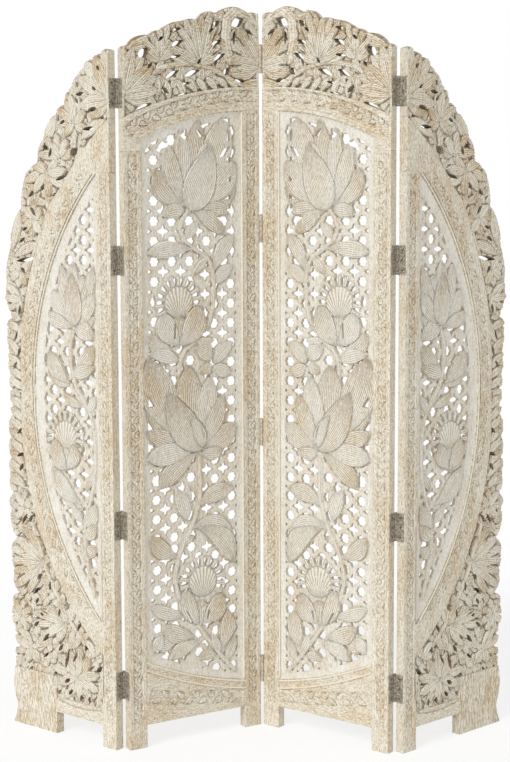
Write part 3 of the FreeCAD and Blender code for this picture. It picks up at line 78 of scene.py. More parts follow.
# Stiles of the middle panels: straight mango-wood posts that run down into the legs, with a
# line of shallow chip-carved curls down the face. Limewashed and rubbed back.
INNER_STILE = 48.0
INNER_FAR = PANEL_WIDTH - INNER_STILE
INNER_STILE_TOP = 1470.0
CENTRE_STILE_TOP = 1577.0
VINE_PITCH = 36.0
VINE_DEPTH = 1.7
VINE_FOOT = 62.0
VINE_END = 6.0
VINE_STALK = 1.7
LEAF_SHOULDER = 5.0
OUTLINE_WIDTH = 1.8
OUTLINE_DEPTH = 1.1
MIDRIB_WIDTH = 1.6
RIM_INSET = 3.0
RIM_WIDTH = 1.8
GOUGE_LINE = 5.4
EDGE_SLOPE = 1.6
SLIT_DEPTH = 6.0
RECESS_REACH = 5.0
RECESS_DEPTH = 2.2
JOINT_ROUND = 0.7
FRAME_STEP = 1.9
ARC_SPACING = 8.0


def arc(start, end, radius):
    """Places along an arc from start to just before end; a negative radius bends right."""
    start, end = np.array(start, float), np.array(end, float)
    chord = end - start
    half = np.hypot(*chord) / 2
    side = np.array([-chord[1], chord[0]]) / (2 * half)
    rise = math.sqrt(radius * radius - half * half)
    centre = (start + end) / 2 + side * math.copysign(rise, radius)
    first = math.atan2(*(start - centre)[::-1])
    sweep = math.copysign(2 * math.asin(half / abs(radius)), radius)
    steps = max(2, int(abs(sweep * radius) / ARC_SPACING))
    turns = first + sweep * np.arange(steps) / steps
    return [tuple(centre + abs(radius) * np.array([math.cos(a), math.sin(a)])) for a in turns]


def outline(corners):
    """Closed outline; a corner with a third entry starts an arc of that radius."""
    places = []
    for corner, after in zip(corners, corners[1:] + corners[:1]):
        places += arc(corner[:2], after[:2], corner[2]) if len(corner) == 3 else [corner]
    return places


def rectangle(left, low, right, high):
    return [(left, low), (right, low), (right, high), (left, high)]


def shifted(path, across, up):
    return [(s + across, z + up) for s, z in path]


def depth_inside(corners, across, up):
    """Distance from each place to a closed outline, positive inside it."""
    nearest = np.full(across.shape, 1e9)
    within = np.zeros(across.shape, bool)
    for (s0, z0), (s1, z1) in zip(corners, corners[1:] + corners[:1]):
        ds, dz = s1 - s0, z1 - z0
        if abs(ds) + abs(dz) < 1e-9:
            continue
        share = np.clip(((across - s0) * ds + (up - z0) * dz) / (ds * ds + dz * dz), 0.0, 1.0)
        nearest = np.minimum(nearest, np.hypot(across - s0 - share * ds, up - z0 - share * dz))
        if dz:
            within ^= ((z0 > up) != (z1 > up)) & (across < s0 + (up - z0) * ds / dz)
    return np.where(within, nearest, -nearest)


def beside_path(path, across, up):
    """Sideways distance (left positive) from a line of places, and the run along it."""
    gap = np.full(across.shape, 1e9)
    off, run = np.zeros((2, *across.shape))
    travelled = 0.0
    for (s0, z0), (s1, z1) in zip(path, path[1:]):
        ds, dz = s1 - s0, z1 - z0
        length = math.hypot(ds, dz)
        share = np.clip(((across - s0) * ds + (up - z0) * dz) / length ** 2, 0.0, 1.0)
        distance = np.hypot(across - s0 - share * ds, up - z0 - share * dz)
        left = (up - z0) * ds - (across - s0) * dz
        nearer = distance < gap
        gap = np.where(nearer, distance, gap)
        off = np.where(nearer, np.copysign(distance, left), off)
        run = np.where(nearer, travelled + share * length, run)
        travelled += length
    return off, run


class CarvedFace:
    """Carved face of a board on a grid of places, with heights above the uncut ground."""

    def __init__(self, edge, step):
        corners = np.array(edge)
        spans = [
            np.arange(low - step, high + 2 * step, step)
            for low, high in zip(corners.min(0), corners.max(0))
        ]
        self.step = step
        self.s, self.z = np.meshgrid(*spans, indexing="ij")
        self.inside = depth_inside(edge, self.s, self.z)
        self.board = self.inside.copy()
        self.height, self.gouge, self.stroke = np.zeros((3, *self.s.shape))
        self.rubbed = np.full(self.s.shape, 0.35)

    def near(self, places, margin):
        """The part of the grid round some places."""
        places = np.array(places, float)
        spans = []
        for axis, line in enumerate((self.s[:, 0], self.z[0])):
            low = places[:, axis].min() - margin - self.step
            high = places[:, axis].max() + margin + self.step
            spans.append(slice(*np.searchsorted(line, (low, high))))
        return tuple(spans)

    def along(self, path, margin):
        """The part round a line of places, with the distance beside it and the run along it."""
        here = self.near(path, margin)
        return here, *beside_path(path, self.s[here], self.z[here])

    def pierce(self, hole):
        """Saw a hole right through."""
        here = self.near(hole, 4.0)
        depth = depth_inside(hole, self.s[here], self.z[here])
        self.inside[here] = np.minimum(self.inside[here], -depth)

    def score(self, path, width, depth):
        """Cut a rounded groove along a line of places; a negative depth leaves a bead."""
        here, off, _ = self.along(path, width)
        self.height[here] -= depth * np.exp(-(2.2 * off / width) ** 2)

    def slit(self, path, width):
        """Open joint that shows as a dark line."""
        here, off, _ = self.along(path, width)
        self.height[here] -= SLIT_DEPTH * np.clip(1.4 - np.abs(off) / (width / 2), 0.0, 1.0)

    def lay(self, here, on, level, inside, gouge, stroke):
        """Leave wood standing to a level, with its gouge lines, where it rises above what is there."""
        wins = on & ((level > self.height[here]) | (self.inside[here] <= 0))
        for grid, laid in ((self.height, level), (self.gouge, gouge), (self.stroke, stroke)):
            grid[here] = np.where(wins, laid, grid[here])
        self.inside[here] = np.where(on, np.maximum(self.inside[here], inside), self.inside[here])
        return wins

    def leaf(self, row, level, crown, lift=0.0, fullness=0.75, blunt=0.8, rim=0.0, line=GOUGE_LINE):
        """Leaf rounded at its edge, hollowed along its midrib and cut with gouge lines.

        A row holds its base, its tip, its width and its bend. A rim makes it a bud: no midrib, and
        a raised line just inside its edge."""
        base, tip, width, bend = np.array(row[:2], float), np.array(row[2:4], float), *row[4:]
        spine = tip - base
        length = np.hypot(*spine)
        along = spine / length
        side = np.array([-along[1], along[0]])
        here = self.near([base, tip], width / 2 + abs(bend) + self.step)
        ds, dz = self.s[here] - base[0], self.z[here] - base[1]
        share = (ds * along[0] + dz * along[1]) / length
        u = np.clip(share, 0.0, 1.0)
        off = ds * side[0] + dz * side[1] - bend * 4 * u * (1 - u)
        half = width / 2 * np.sin(np.pi * u ** fullness) ** blunt
        distance = half - np.abs(off)
        beyond = np.maximum(-share, share - 1) * length
        distance = np.where(beyond > 0, -np.hypot(beyond, off), distance)
        shoulder = np.clip(1 - distance / min(LEAF_SHOULDER, 0.3 * width), 0, 1)
        rounded = np.sqrt(1 - shoulder * shoulder)
        if rim:
            ridge = rim * np.exp(-((distance - RIM_INSET) / RIM_WIDTH) ** 2)
        else:
            ridge = -0.35 * crown * np.exp(-(off / MIDRIB_WIDTH) ** 2)
        outlined = (distance <= 0) & (distance > -OUTLINE_WIDTH) & (beyond <= 0)
        self.height[here] -= OUTLINE_DEPTH * (outlined & (self.height[here] < level + crown))
        wins = self.lay(
            here, distance > 0, level + lift * u + crown * rounded + ridge, distance,
            off / np.maximum(half, 1e-3) * width / (2 * line), np.clip(half / 7, 0, 1),
        )
        tint = 0.5 + 0.5 * math.sin(0.37 * tip[0] + 0.23 * tip[1])
        worn = 0.05 + tint * np.clip((u - 0.15) / 0.6, 0, 1)
        self.rubbed[here] = np.where(wins, worn, self.rubbed[here])

    def pit(self, hole, depth):
        """Drill and chop a narrow pit between two leaves, not quite through."""
        corners = almond(*hole)
        here = self.near(corners, 2.0)
        within = depth_inside(corners, self.s[here], self.z[here])
        self.height[here] -= depth * np.clip(within / EDGE_SLOPE + 0.4, 0.0, 1.0)
        self.stroke[here] = np.where(within > 0, 0.0, self.stroke[here])

    def thatch(self, centre, length, width, level):
        """Cover the ground with short overlapping leaves that point away from a centre."""
        rows = np.arange(self.z[0, 0], self.z[0, -1], length * 0.45)
        for row, up in enumerate(rows):
            start = self.s[0, 0] + (row % 2) * width * 0.45
            for column, across in enumerate(np.arange(start, self.s[-1, 0], width * 0.9)):
                i = int((across - self.s[0, 0]) / self.step)
                j = int((up - self.z[0, 0]) / self.step)
                if self.board[i, j] < 1.0:
                    continue
                sway = 0.55 * math.sin(2.3 * row + 1.7 * column) + 0.3 * math.sin(5.1 * column - row)
                angle = math.atan2(up - centre[1], across - centre[0]) + sway
                reach = length * (1.0 + 0.25 * math.sin(3.1 * column + 1.3 * row))
                tip = (across + math.cos(angle) * reach, up + math.sin(angle) * reach)
                bend = 3.0 * math.sin(row + column)
                lie = level + 0.7 * ((row * 5 + column * 3) % 4)
                self.leaf((across, up, *tip, width, bend), lie, crown=2.2, lift=2.0, fullness=1.0)

    def chased(self, spacing, lean, share):
        """Fine gouge lines all over the flat wood, upright or leaning."""
        self.gouge = (self.s + lean * self.z + 1.5 * np.sin(self.z / 9.0)) / spacing
        self.stroke = np.full(self.s.shape, share)

    def flutes(self, spacing, depth, sway):
        """Long wavy furrows with the grain."""
        wander = sway * np.sin(self.z / 26.0) + 0.4 * sway * np.sin(self.z / 11.0 + self.s / 30.0)
        ridge = np.abs(np.sin(np.pi * (self.s + wander) / spacing))
        self.height += depth * (np.sqrt(ridge) - 1.0)
        self.gouge = (self.s + wander) / spacing * 2.0
        self.stroke = np.full(self.s.shape, 0.7)

    def stem(self, path, width, level, crown):
        """Round stalk along a line of places."""
        here, off, _ = self.along(path, width)
        distance = width / 2 - np.abs(off)
        rounded = np.sqrt(np.clip(1 - (2 * off / width) ** 2, 0, 1))
        self.lay(here, distance > 0, level + crown * rounded, distance, off / width * 3, 0.6)

    def vine(self, path, breadth, pitch, depth):
        """Sink a strip along a line of places and leave a running vine with small leaves in it."""
        corners = np.array(path, float)
        here, off, run = self.along(path, breadth)
        length = run.max()
        side_room = np.clip((breadth / 2 - np.abs(off)) / EDGE_SLOPE, 0.0, 1.0)
        end_room = np.clip(np.minimum(run, length - run) / EDGE_SLOPE, 0.0, 1.0)
        sunk = side_room * end_room
        sway = 0.2 * breadth * np.sin(2 * math.pi * run / pitch + 0.7 * np.sin(run / 53.0))
        stalk = np.exp(-((off - sway) / VINE_STALK) ** 2)
        self.height[here] -= depth * sunk * (1.0 - 0.8 * stalk)
        steps = np.concatenate([[0.0], np.cumsum(np.hypot(*np.diff(corners, axis=0).T))])
        for count in range(1, int(2 * length / pitch)):
            root = count * pitch / 2
            if root + 0.45 * pitch > length:
                break
            side = 1.0 if count % 2 else -1.0
            start, later = (
                np.array([np.interp(run_to, steps, corners[:, k]) for k in (0, 1)])
                for run_to in (root, root + 6.0)
            )
            along = (later - start) / max(np.hypot(*(later - start)), 1e-6)
            left = np.array([-along[1], along[0]])
            for lean, out, share in ((0.40, 0.46, 0.30), (0.05, 0.44, 0.24)):
                reach = out + 0.05 * math.sin(2.1 * count)
                tip = start + along * pitch * lean + left * side * breadth * reach
                row = (*start, *tip, breadth * share, 1.0)
                self.leaf(row, -0.9 * depth, crown=depth * 0.8, lift=0.2 * depth)

    def roll_edge(self, rim, reach, drop):
        """Round the leaf ends over towards a free edge, given as a line of places."""
        off, _ = beside_path(rim, self.s, self.z)
        near = np.clip(1.0 - np.abs(off) / reach, 0.0, 1.0)
        self.height -= drop * near ** 2

    def recess(self):
        """How far each place lies below its surroundings, from 0 to 1; the finishes paint shade into
        the wood by it.
        """
        wood = (self.inside > 0).astype(float)
        total, share = self.height * wood, wood.copy()
        reach = max(2, round(RECESS_REACH / self.step))
        for axis in (0, 1, 0, 1):
            total = running_mean(total, reach, axis)
            share = running_mean(share, reach, axis)
        around = total / np.maximum(share, 1e-3)
        return np.clip((around - self.height) / RECESS_DEPTH, 0.0, 1.0)


def running_mean(values, reach, axis):
    """Mean over neighbours on both sides along one axis."""
    width = [(0, 0), (0, 0)]
    width[axis] = (reach + 1, reach)
    summed = np.cumsum(np.pad(values, width, mode="edge"), axis=axis)
    size = values.shape[axis]
    later = np.take(summed, range(2 * reach + 1, 2 * reach + 1 + size), axis=axis)
    earlier = np.take(summed, range(0, size), axis=axis)
    return (later - earlier) / (2 * reach + 1)


def marching_rim(face):
    """Triangles of the carved face, cut along its rims, and the directed rim edges."""
    wood = face.inside > 0
    across, up = face.s.shape
    node = np.arange(across * up).reshape(across, up)
    ways = {"across": (1, 0), "up": (0, 1), "slant": (1, 1)}
    crossing = {}
    points = [np.column_stack([face.s.ravel(), face.z.ravel()])]
    owner = [node.ravel()]
    count = across * up
    for way, (i, j) in ways.items():
        here = (slice(0, across - i), slice(0, up - j))
        there = (slice(i, across), slice(j, up))
        cut = wood[here] != wood[there]
        number = np.full(cut.shape, -1)
        number[cut] = count + np.arange(cut.sum())
        crossing[way] = number
        count += cut.sum()
        share = np.clip(
            face.inside[here][cut] / (face.inside[here][cut] - face.inside[there][cut]), 0.08, 0.92
        )
        from_s, to_s = face.s[here][cut], face.s[there][cut]
        from_z, to_z = face.z[here][cut], face.z[there][cut]
        rim_places = [from_s + share * (to_s - from_s), from_z + share * (to_z - from_z)]
        points.append(np.column_stack(rim_places))
        owner.append(np.where(wood[here][cut], node[here][cut], node[there][cut]))
    low = (slice(0, across - 1), slice(0, up - 1))
    right = (slice(1, across), slice(0, up - 1))
    far = (slice(1, across), slice(1, up))
    above = (slice(0, across - 1), slice(1, up))
    slant = crossing["slant"]
    kinds = [
        ((low, right, far), (crossing["across"][:, :-1], crossing["up"][1:, :], slant)),
        ((low, far, above), (slant, crossing["across"][:, 1:], crossing["up"][:-1, :])),
    ]
    triangles, rims = [], []
    for corners, cuts in kinds:
        ids = [node[c].ravel() for c in corners]
        flags = [wood[c].ravel() for c in corners]
        edges = [c.ravel() for c in cuts]
        how_many = flags[0].astype(int) + flags[1] + flags[2]
        whole = how_many == 3
        triangles.append(np.column_stack([i[whole] for i in ids]))
        for k in range(3):
            a, b, c = ids[k], ids[(k + 1) % 3], ids[(k + 2) % 3]
            ab, ca = edges[k], edges[(k + 2) % 3]
            one = (how_many == 1) & flags[k]
            triangles.append(np.column_stack([a[one], ab[one], ca[one]]))
            rims.append(np.column_stack([ab[one], ca[one]]))
            two = (how_many == 2) & ~flags[k]
            triangles.append(np.column_stack([ab[two], b[two], c[two]]))
            triangles.append(np.column_stack([ab[two], c[two], ca[two]]))
            rims.append(np.column_stack([ca[two], ab[two]]))
    return np.vstack(points), np.concatenate(owner), np.vstack(triangles), np.vstack(rims)


def back_triangles(face, places, rims):
    """Flat back inside the rims, over the rim places alone."""
    used, local = np.unique(rims, return_inverse=True)
    local = local.reshape(rims.shape)
    flat = [Vector(place) for place in places[used]]
    result = geometry.delaunay_2d_cdt(flat, [tuple(edge) for edge in local.tolist()], [], 0, 1e-7)
    if len(result[0]) != len(flat):
        raise RuntimeError("the rims of a carved face cross each other")
    source = np.array([origin[0] for origin in result[3]])
    found = source[np.array(result[2])]
    one, two, three = (places[used][found[:, k]] for k in range(3))
    turned = np.cross(two - one, three - one) < 0
    found[turned] = found[turned][:, ::-1]
    middle = places[used][found].mean(axis=1)
    i = (middle[:, 0] - face.s[0, 0]) / face.step
    j = (middle[:, 1] - face.z[0, 0]) / face.step
    i0, j0 = i.astype(int), j.astype(int)
    fi, fj = i - i0, j - j0
    depth = (
        face.inside[i0, j0] * (1 - fi) * (1 - fj) + face.inside[i0 + 1, j0] * fi * (1 - fj)
        + face.inside[i0, j0 + 1] * (1 - fi) * fj + face.inside[i0 + 1, j0 + 1] * fi * fj
    )
    keep = depth > 0
    count = len(used)
    rim_codes = local[:, 0] * count + local[:, 1]
    against_codes = local[:, 1] * count + local[:, 0]
    for k in range(3):
        codes = found[:, k] * count + found[:, (k + 1) % 3]
        keep = np.where(np.isin(codes, rim_codes), True, keep)
    for k in range(3):
        codes = found[:, k] * count + found[:, (k + 1) % 3]
        keep = np.where(np.isin(codes, against_codes), False, keep)
    return used, found[keep]


def mesh_object(name, places, edges=(), faces=()):
    """Object with a new mesh, in the scene."""
    mesh = bpy.data.meshes.new(name)
    mesh.from_pydata(np.array(places).tolist(), edges, faces)
    made = bpy.data.objects.new(name, mesh)
    bpy.context.scene.collection.objects.link(made)
    return made


def store(mesh, name, values, domain="POINT"):
    """Keep a number or a vector for each point or face of a mesh."""
    kind, field = ("FLOAT_VECTOR", "vector") if values.ndim == 2 else ("FLOAT", "value")
    mesh.attributes.new(name, kind, domain).data.foreach_set(field, values.ravel())


def stand(
    panels, node, face, slot, finish, front=0.0, back=PANEL_THICKNESS, grain_up=True, worn=JOINT_ROUND,
):
    """Board with its carved face, sawn edges and flat back, for one CAD node of each panel.

    front and back are the depths of the uncut ground and of the back behind the panel's face."""
    places, owner, triangles, rims = marching_rim(face)
    near_rim = np.clip(worn - face.inside, 0.0, worn)
    rounding = worn - np.sqrt(worn ** 2 - near_rim ** 2)
    height = (face.height - rounding).ravel()[owner]
    height[face.s.size:] -= 0.5 * worn
    used, back_faces = back_triangles(face, places, rims)
    kept = np.unique(triangles)
    number, rear = np.full((2, len(places)), -1)
    number[kept] = np.arange(len(kept))
    rear[used] = len(kept) + np.arange(len(used))
    (p, q), (rear_p, rear_q) = number[rims].T, rear[rims].T
    walls = np.vstack([np.column_stack([q, p, rear_p]), np.column_stack([q, rear_p, rear_q])])
    faces = np.vstack([number[triangles], walls, len(kept) + back_faces[:, ::-1]])
    flat = np.vstack([
        np.column_stack([places[kept, 0], front - height[kept], places[kept, 1]]),
        np.column_stack([places[used, 0], np.full(len(used), back), places[used, 1]]),
    ])
    work = {"recess": face.recess(), "gouge": face.gouge, "stroke": face.stroke, "rubbed": face.rubbed}
    for key, grid in work.items():
        work[key] = np.append(grid.ravel()[owner[kept]], np.zeros(len(used)))
    work["stroke"][:len(kept)][kept >= face.s.size] = 0.0
    # Weight of the painted shade on the sawn walls: full inside the holes, faint on the board's outer
    # edges.
    from_edge = face.board.ravel()[owner[rims[:, 0]]]
    pierced = np.where(from_edge > 2.5 * face.step, 1.0, 0.12)
    sawn = np.concatenate([np.zeros(len(triangles)), pierced, pierced, np.zeros(len(back_faces))])
    for panel in panels:
        turned = faces[:, ::-1] if PANEL_SEATS[panel]["mirrored"] else faces
        piece = mesh_object(f"{panel}_{node}_carved", set_up(panel, flat), faces=turned.tolist())
        shift = (sum(map(ord, panel + node)) % 97) * 0.37
        store(piece.data, "board", (flat if grain_up else flat[:, ::-1]) / METRE + shift)
        for key, values in work.items():
            store(piece.data, key, values)
        store(piece.data, "sawn", sawn, "FACE")
        piece.data.shade_smooth()
        piece.data.set_sharp_from_angle(angle=math.radians(50))
        piece.data.materials.append(finish)
        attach(piece, panel)
        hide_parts(f"{panel}_{node}")


class Tone:
    """A socket of a node tree; arithmetic on tones adds the Math nodes."""

    def __init__(self, nodes, socket):
        self.nodes, self.socket = nodes, socket

    def math(self, operation, *others):
        values = dict(enumerate((self, *others)))
        return self.nodes.node("ShaderNodeMath", {"operation": operation}, values)

    def __add__(self, other):
        return self.math("ADD", other)

    def __sub__(self, other):
        return self.math("SUBTRACT", other)

    def __rsub__(self, other):
        return self.nodes.node("ShaderNodeMath", {"operation": "SUBTRACT"}, {0: other, 1: self})

    def __mul__(self, other):
        return self.math("MULTIPLY", other)

    __radd__ = __add__
    __rmul__ = __mul__

    def clamp(self):
        return self.nodes.node("ShaderNodeClamp", {}, {0: self})

    def above(self, low, high):
        """0 below low, 1 above high, smooth between."""
        ends = {0: self, 1: low, 2: high}
        return self.nodes.node("ShaderNodeMapRange", {"interpolation_type": "SMOOTHSTEP"}, ends)


class Nodes:
    """The nodes of a material, of the world or of a geometry-nodes tree."""

    def __init__(self, owner):
        if hasattr(owner, "use_nodes"):
            owner.use_nodes = True
        self.owner = owner
        self.tree = getattr(owner, "node_tree", owner)
        self.tree.nodes.clear()

    def node(self, kind, settings, values, output=0):
        """Add a node: its settings first, then the values or links of its sockets."""
        made = self.tree.nodes.new(kind)
        for key, value in settings.items():
            setattr(made, key, value)
        for key, value in values.items():
            if isinstance(value, Tone):
                self.tree.links.new(value.socket, made.inputs[key])
            else:
                made.inputs[key].default_value = value
        return Tone(self, made.outputs[output] if made.outputs else None)

    def attribute(self, name, output="Fac"):
        return self.node("ShaderNodeAttribute", {"attribute_name": name}, {}, output)

    def object_place(self):
        return self.node("ShaderNodeTexCoord", {}, {}, "Object")

    def mix(self, share, one, two):
        """Colour two over colour one."""
        return self.node("ShaderNodeMix", {"data_type": "RGBA"}, {0: share, 6: one, 7: two}, 2)

    def noise(self, place, scale, detail, roughness):
        """Noise over a place; three scales stretch it along the grain."""
        if isinstance(scale, tuple):
            stretch = {0: place, 1: scale}
            place = self.node("ShaderNodeVectorMath", {"operation": "MULTIPLY"}, stretch)
            scale = 1.0
        values = {"Vector": place, "Scale": scale, "Detail": detail, "Roughness": roughness}
        return self.node("ShaderNodeTexNoise", {}, values)

    def surface(self, strength, distance, height, values):
        """Finish the material: a principled surface over a fine relief."""
        relief = {"Strength": strength, "Distance": distance, "Height": height}
        normal = self.node("ShaderNodeBump", {}, relief)
        shader = self.node("ShaderNodeBsdfPrincipled", {}, {**values, "Normal": normal})
        self.node("ShaderNodeOutputMaterial", {}, {"Surface": shader})
        return self.owner


def linear(red, green, blue):
    """A colour read as 0 to 255 in sRGB, as the shader wants it."""
    shares = [c / 255.0 for c in (red, green, blue)]
    return tuple(c / 12.92 if c <= 0.04045 else ((c + 0.055) / 1.055) ** 2.4 for c in shares) + (1.0,)


LIMEWASH = linear(234, 230, 216)
RUBBED_WOOD = linear(178, 156, 120)
HONEY_WOOD = linear(190, 157, 106)
# Colours of the painted shade in crevices, recesses and the sawn walls of holes.
CREVICE_PAINTED_SHADE = linear(104, 80, 54)
FRAME_CREVICE_PAINTED_SHADE = linear(124, 98, 66)


def limewash(
    name, wash=LIMEWASH, crevice_shade_colour=CREVICE_PAINTED_SHADE, thinness=0.5, painted_shade_in_cuts=1.0, painted_shade_on_walls=1.0, lines=0.5,
    figure=0.0, figure_run=11.0, carved=True,
):
    """Mango wood under a rubbed limewash: held in the furrows, thin on the ridges, with brown painted
    shade in the recesses and on the sawn walls of the holes.

    A figure lets the swirling grain of the wood show through the wash."""
    finish = Nodes(bpy.data.materials.new(name))
    board = finish.attribute("board", "Vector") if carved else finish.object_place()
    recess, gouge, stroke, rubbed, sawn = (
        finish.attribute(key) for key in ("recess", "gouge", "stroke", "rubbed", "sawn")
    )
    patches = finish.noise(board, (18.0, 18.0, 5.0), 4.0, 0.6).above(0.42, 0.62)
    grain = finish.noise(board, (330.0, 330.0, 34.0), 4.0, 0.7)
    brushed = finish.noise(board, (230.0, 230.0, 150.0), 3.0, 0.75)
    dashes = finish.noise(board, (400.0, 400.0, 110.0), 2.0, 0.5)
    swirl = finish.noise(board, (30.0, 30.0, figure_run), 3.0, 0.55)
    furrow = (0.5 - (gouge * (2 * math.pi)).math("COSINE") * 0.5) * stroke
    rings = (swirl * 95.0).math("SINE").above(-0.3, 0.9)
    thin = (
        grain.above(0.38, 0.62) * 0.45 + brushed.above(0.4, 0.62) * 0.5 + patches * 0.35
        + (stroke * 0.5 - furrow) * lines + rubbed * 0.8 + (rings - 0.5) * figure - 0.2
    ) * thinness
    bare = thin.clamp() * dashes.above(0.32, 0.42)
    paint = finish.mix(bare, wash, finish.mix(patches * 0.6, RUBBED_WOOD, HONEY_WOOD))
    # Painted shade: the deeper a place lies below its surroundings, the more it is darkened towards the
    # crevice colour.
    cuts = recess.above(0.1, 0.8) * (0.35 + brushed * 0.8) * painted_shade_in_cuts
    specks = dashes.above(0.60, 0.68) * thinness * 0.8
    # Painted shade on the sawn walls and in the recesses, together with real tan specks where the wash
    # is worn through.
    painted_shade_and_specks = cuts + sawn * (0.35 + brushed * 0.5) * painted_shade_on_walls + specks
    height = grain * 0.5 + brushed * 0.7 + dashes * 0.4 - furrow * lines - rings * (0.8 * figure)
    return finish.surface(0.7, 0.0008, height, {
        "Base Color": finish.mix(painted_shade_and_specks.clamp(), paint, crevice_shade_colour), "Roughness": 0.62 + 0.2 * brushed,
        "Specular IOR Level": 0.3,
    })


# The frames get a lighter brown painted shade in their carved cuts.
frame_finish = limewash(
    "limewashed_frame", crevice_shade_colour=FRAME_CREVICE_PAINTED_SHADE, thinness=0.66, painted_shade_in_cuts=0.75, figure=0.45
)
bead_finish = limewash("limewashed_bead", wash=linear(240, 234, 218), thinness=0.3, carved=False)


def grow(thing, name, kind, value, shape, finish):
    """Run a geometry-nodes tree with one named input on an object, and leave a plain mesh."""
    tree = bpy.data.node_groups.new(thing.name, "GeometryNodeTree")
    tree.interface.new_socket("Geometry", in_out="INPUT", socket_type="NodeSocketGeometry")
    number = tree.interface.new_socket(name, in_out="INPUT", socket_type=kind)
    tree.interface.new_socket("Geometry", in_out="OUTPUT", socket_type="NodeSocketGeometry")
    nodes = Nodes(tree)
    given, size = (nodes.node("NodeGroupInput", {}, {}, socket) for socket in ("Geometry", name))
    whole = nodes.node("GeometryNodeRealizeInstances", {}, {0: shape(nodes, given, size)})
    finished = nodes.node("GeometryNodeSetMaterial", {}, {"Geometry": whole, "Material": finish})
    nodes.node("NodeGroupOutput", {}, {0: finished})
    modifier = thing.modifiers.new("steps", "NODES")
    modifier.node_group = tree
    modifier[number.identifier] = value
    shown = thing.evaluated_get(bpy.context.evaluated_depsgraph_get())
    plain = bpy.data.meshes.new_from_object(shown)
    thing.modifiers.clear()
    thing.data = plain


def bead_sweep(nodes, line, radius):
    """Round bead along a line, with closed ends."""
    run = nodes.node("GeometryNodeMeshToCurve", {}, {"Mesh": line})
    size = {"Resolution": 10, "Radius": radius}
    profile = nodes.node("GeometryNodeCurvePrimitiveCircle", {}, size)
    ways = {"Curve": run, "Profile Curve": profile, "Fill Caps": True}
    return nodes.node("GeometryNodeCurveToMesh", {}, ways)


def moulding(panels, part, path, depth, radius):
    """Half-round bead along a line of places in each panel, sunk to a depth."""
    for panel in panels:
        places = set_up(panel, [(s, depth, z) for s, z in path])
        bead = mesh_object(f"{panel}_{part}", places, [(k, k + 1) for k in range(len(path) - 1)])
        grow(bead, "Bead radius", "NodeSocketFloat", radius / METRE, bead_sweep, bead_finish)
        bead.data.shade_smooth()
        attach(bead, panel)


for node, left, right, top, lean in (
    ("stile_outer", 0.0, INNER_STILE, INNER_STILE_TOP, 0.0),
    ("stile_centre", INNER_FAR, PANEL_WIDTH, CENTRE_STILE_TOP, 0.6),
):
    post = CarvedFace(rectangle(left, 0.0, right, top), FRAME_STEP)
    middle = (left + right) / 2
    post.chased(spacing=6.5, lean=lean, share=0.5)
    run = [(middle, VINE_FOOT), (middle, top - VINE_END)]
    post.vine(run, breadth=26.0, pitch=VINE_PITCH, depth=VINE_DEPTH)
    stand(INNER_PANELS, node, post, "frame_wood", frame_finish)
run = [(INNER_FAR - 2.5, 133.0), (INNER_FAR - 2.5, 1574.0)]
moulding(INNER_PANELS, "stile_bead", run, depth=1.5, radius=2.4)


# Bottom rails of the middle panels, between the stiles. Their top edge is hollow and carries
# a double moulding line over a strip of the same shallow scroll.
RAIL_BOTTOM = 57.0
RAIL_LOW = 127.0
RAIL_HIGH = 218.0
RAIL_RADIUS = 1071.0

curve = arc((INNER_FAR, RAIL_LOW), (INNER_STILE, RAIL_HIGH), -RAIL_RADIUS)
curve.append((INNER_STILE, RAIL_HIGH))
rail = CarvedFace([(INNER_STILE, RAIL_BOTTOM), (INNER_FAR, RAIL_BOTTOM)] + curve, FRAME_STEP)
rail.chased(spacing=7.0, lean=0.0, share=0.4)
for drop, width, depth in ((13.0, 22.0, 2.4), (25.0, 4.0, 1.6)):
    rail.score(shifted(curve, 0.0, -drop), width, depth)
for drop in (2.5, 22.0):
    run = shifted(curve, 0.0, -drop)
    moulding(INNER_PANELS, f"rail_bead_{round(drop)}", run, depth=0.8, radius=2.0)
run = [(s, 88.0 + 0.45 * (z - RAIL_LOW)) for s, z in curve[1:-1]]
rail.vine(run, breadth=38.0, pitch=44.0, depth=1.8)
stand(INNER_PANELS, "bottom_rail", rail, "frame_wood", frame_finish, grain_up=False)


# Arch rails close the middle panels at the top and rise to the centre line. A low scroll
# follows the curve between the two edges.
ARCH_LOW = 1503.0
ARCH_RADIUS = 754.0
ARCH_TOP_LOW = 1549.0
ARCH_TOP_HIGH = 1637.0
ARCH_TOP_RADIUS = 900.0

under = arc((INNER_STILE, ARCH_LOW), (INNER_FAR, CENTRE_STILE_TOP), -ARCH_RADIUS)
rail = CarvedFace(outline([
    (0.0, INNER_STILE_TOP), (INNER_STILE, INNER_STILE_TOP), (INNER_STILE, ARCH_LOW, -ARCH_RADIUS),
    (INNER_FAR, CENTRE_STILE_TOP), (PANEL_WIDTH, CENTRE_STILE_TOP),
    (PANEL_WIDTH, ARCH_TOP_HIGH, ARCH_TOP_RADIUS), (0.0, ARCH_TOP_LOW),
]), FRAME_STEP)
rail.chased(spacing=7.0, lean=0.0, share=0.4)
for rise, width, depth in ((8.0, 12.0, 1.8), (16.0, 4.0, 1.4)):
    rail.score(shifted(under, 0.0, rise), width, depth)
run = [(14.0, 1516.0), (30.0, 1530.0)] + shifted(under[1:], 0.0, 37.0) + [(366.0, 1614.0)]
rail.vine(run, breadth=32.0, pitch=40.0, depth=2.4)
stand(INNER_PANELS, "arch_rail", rail, "frame_wood", frame_finish, grain_up=False)
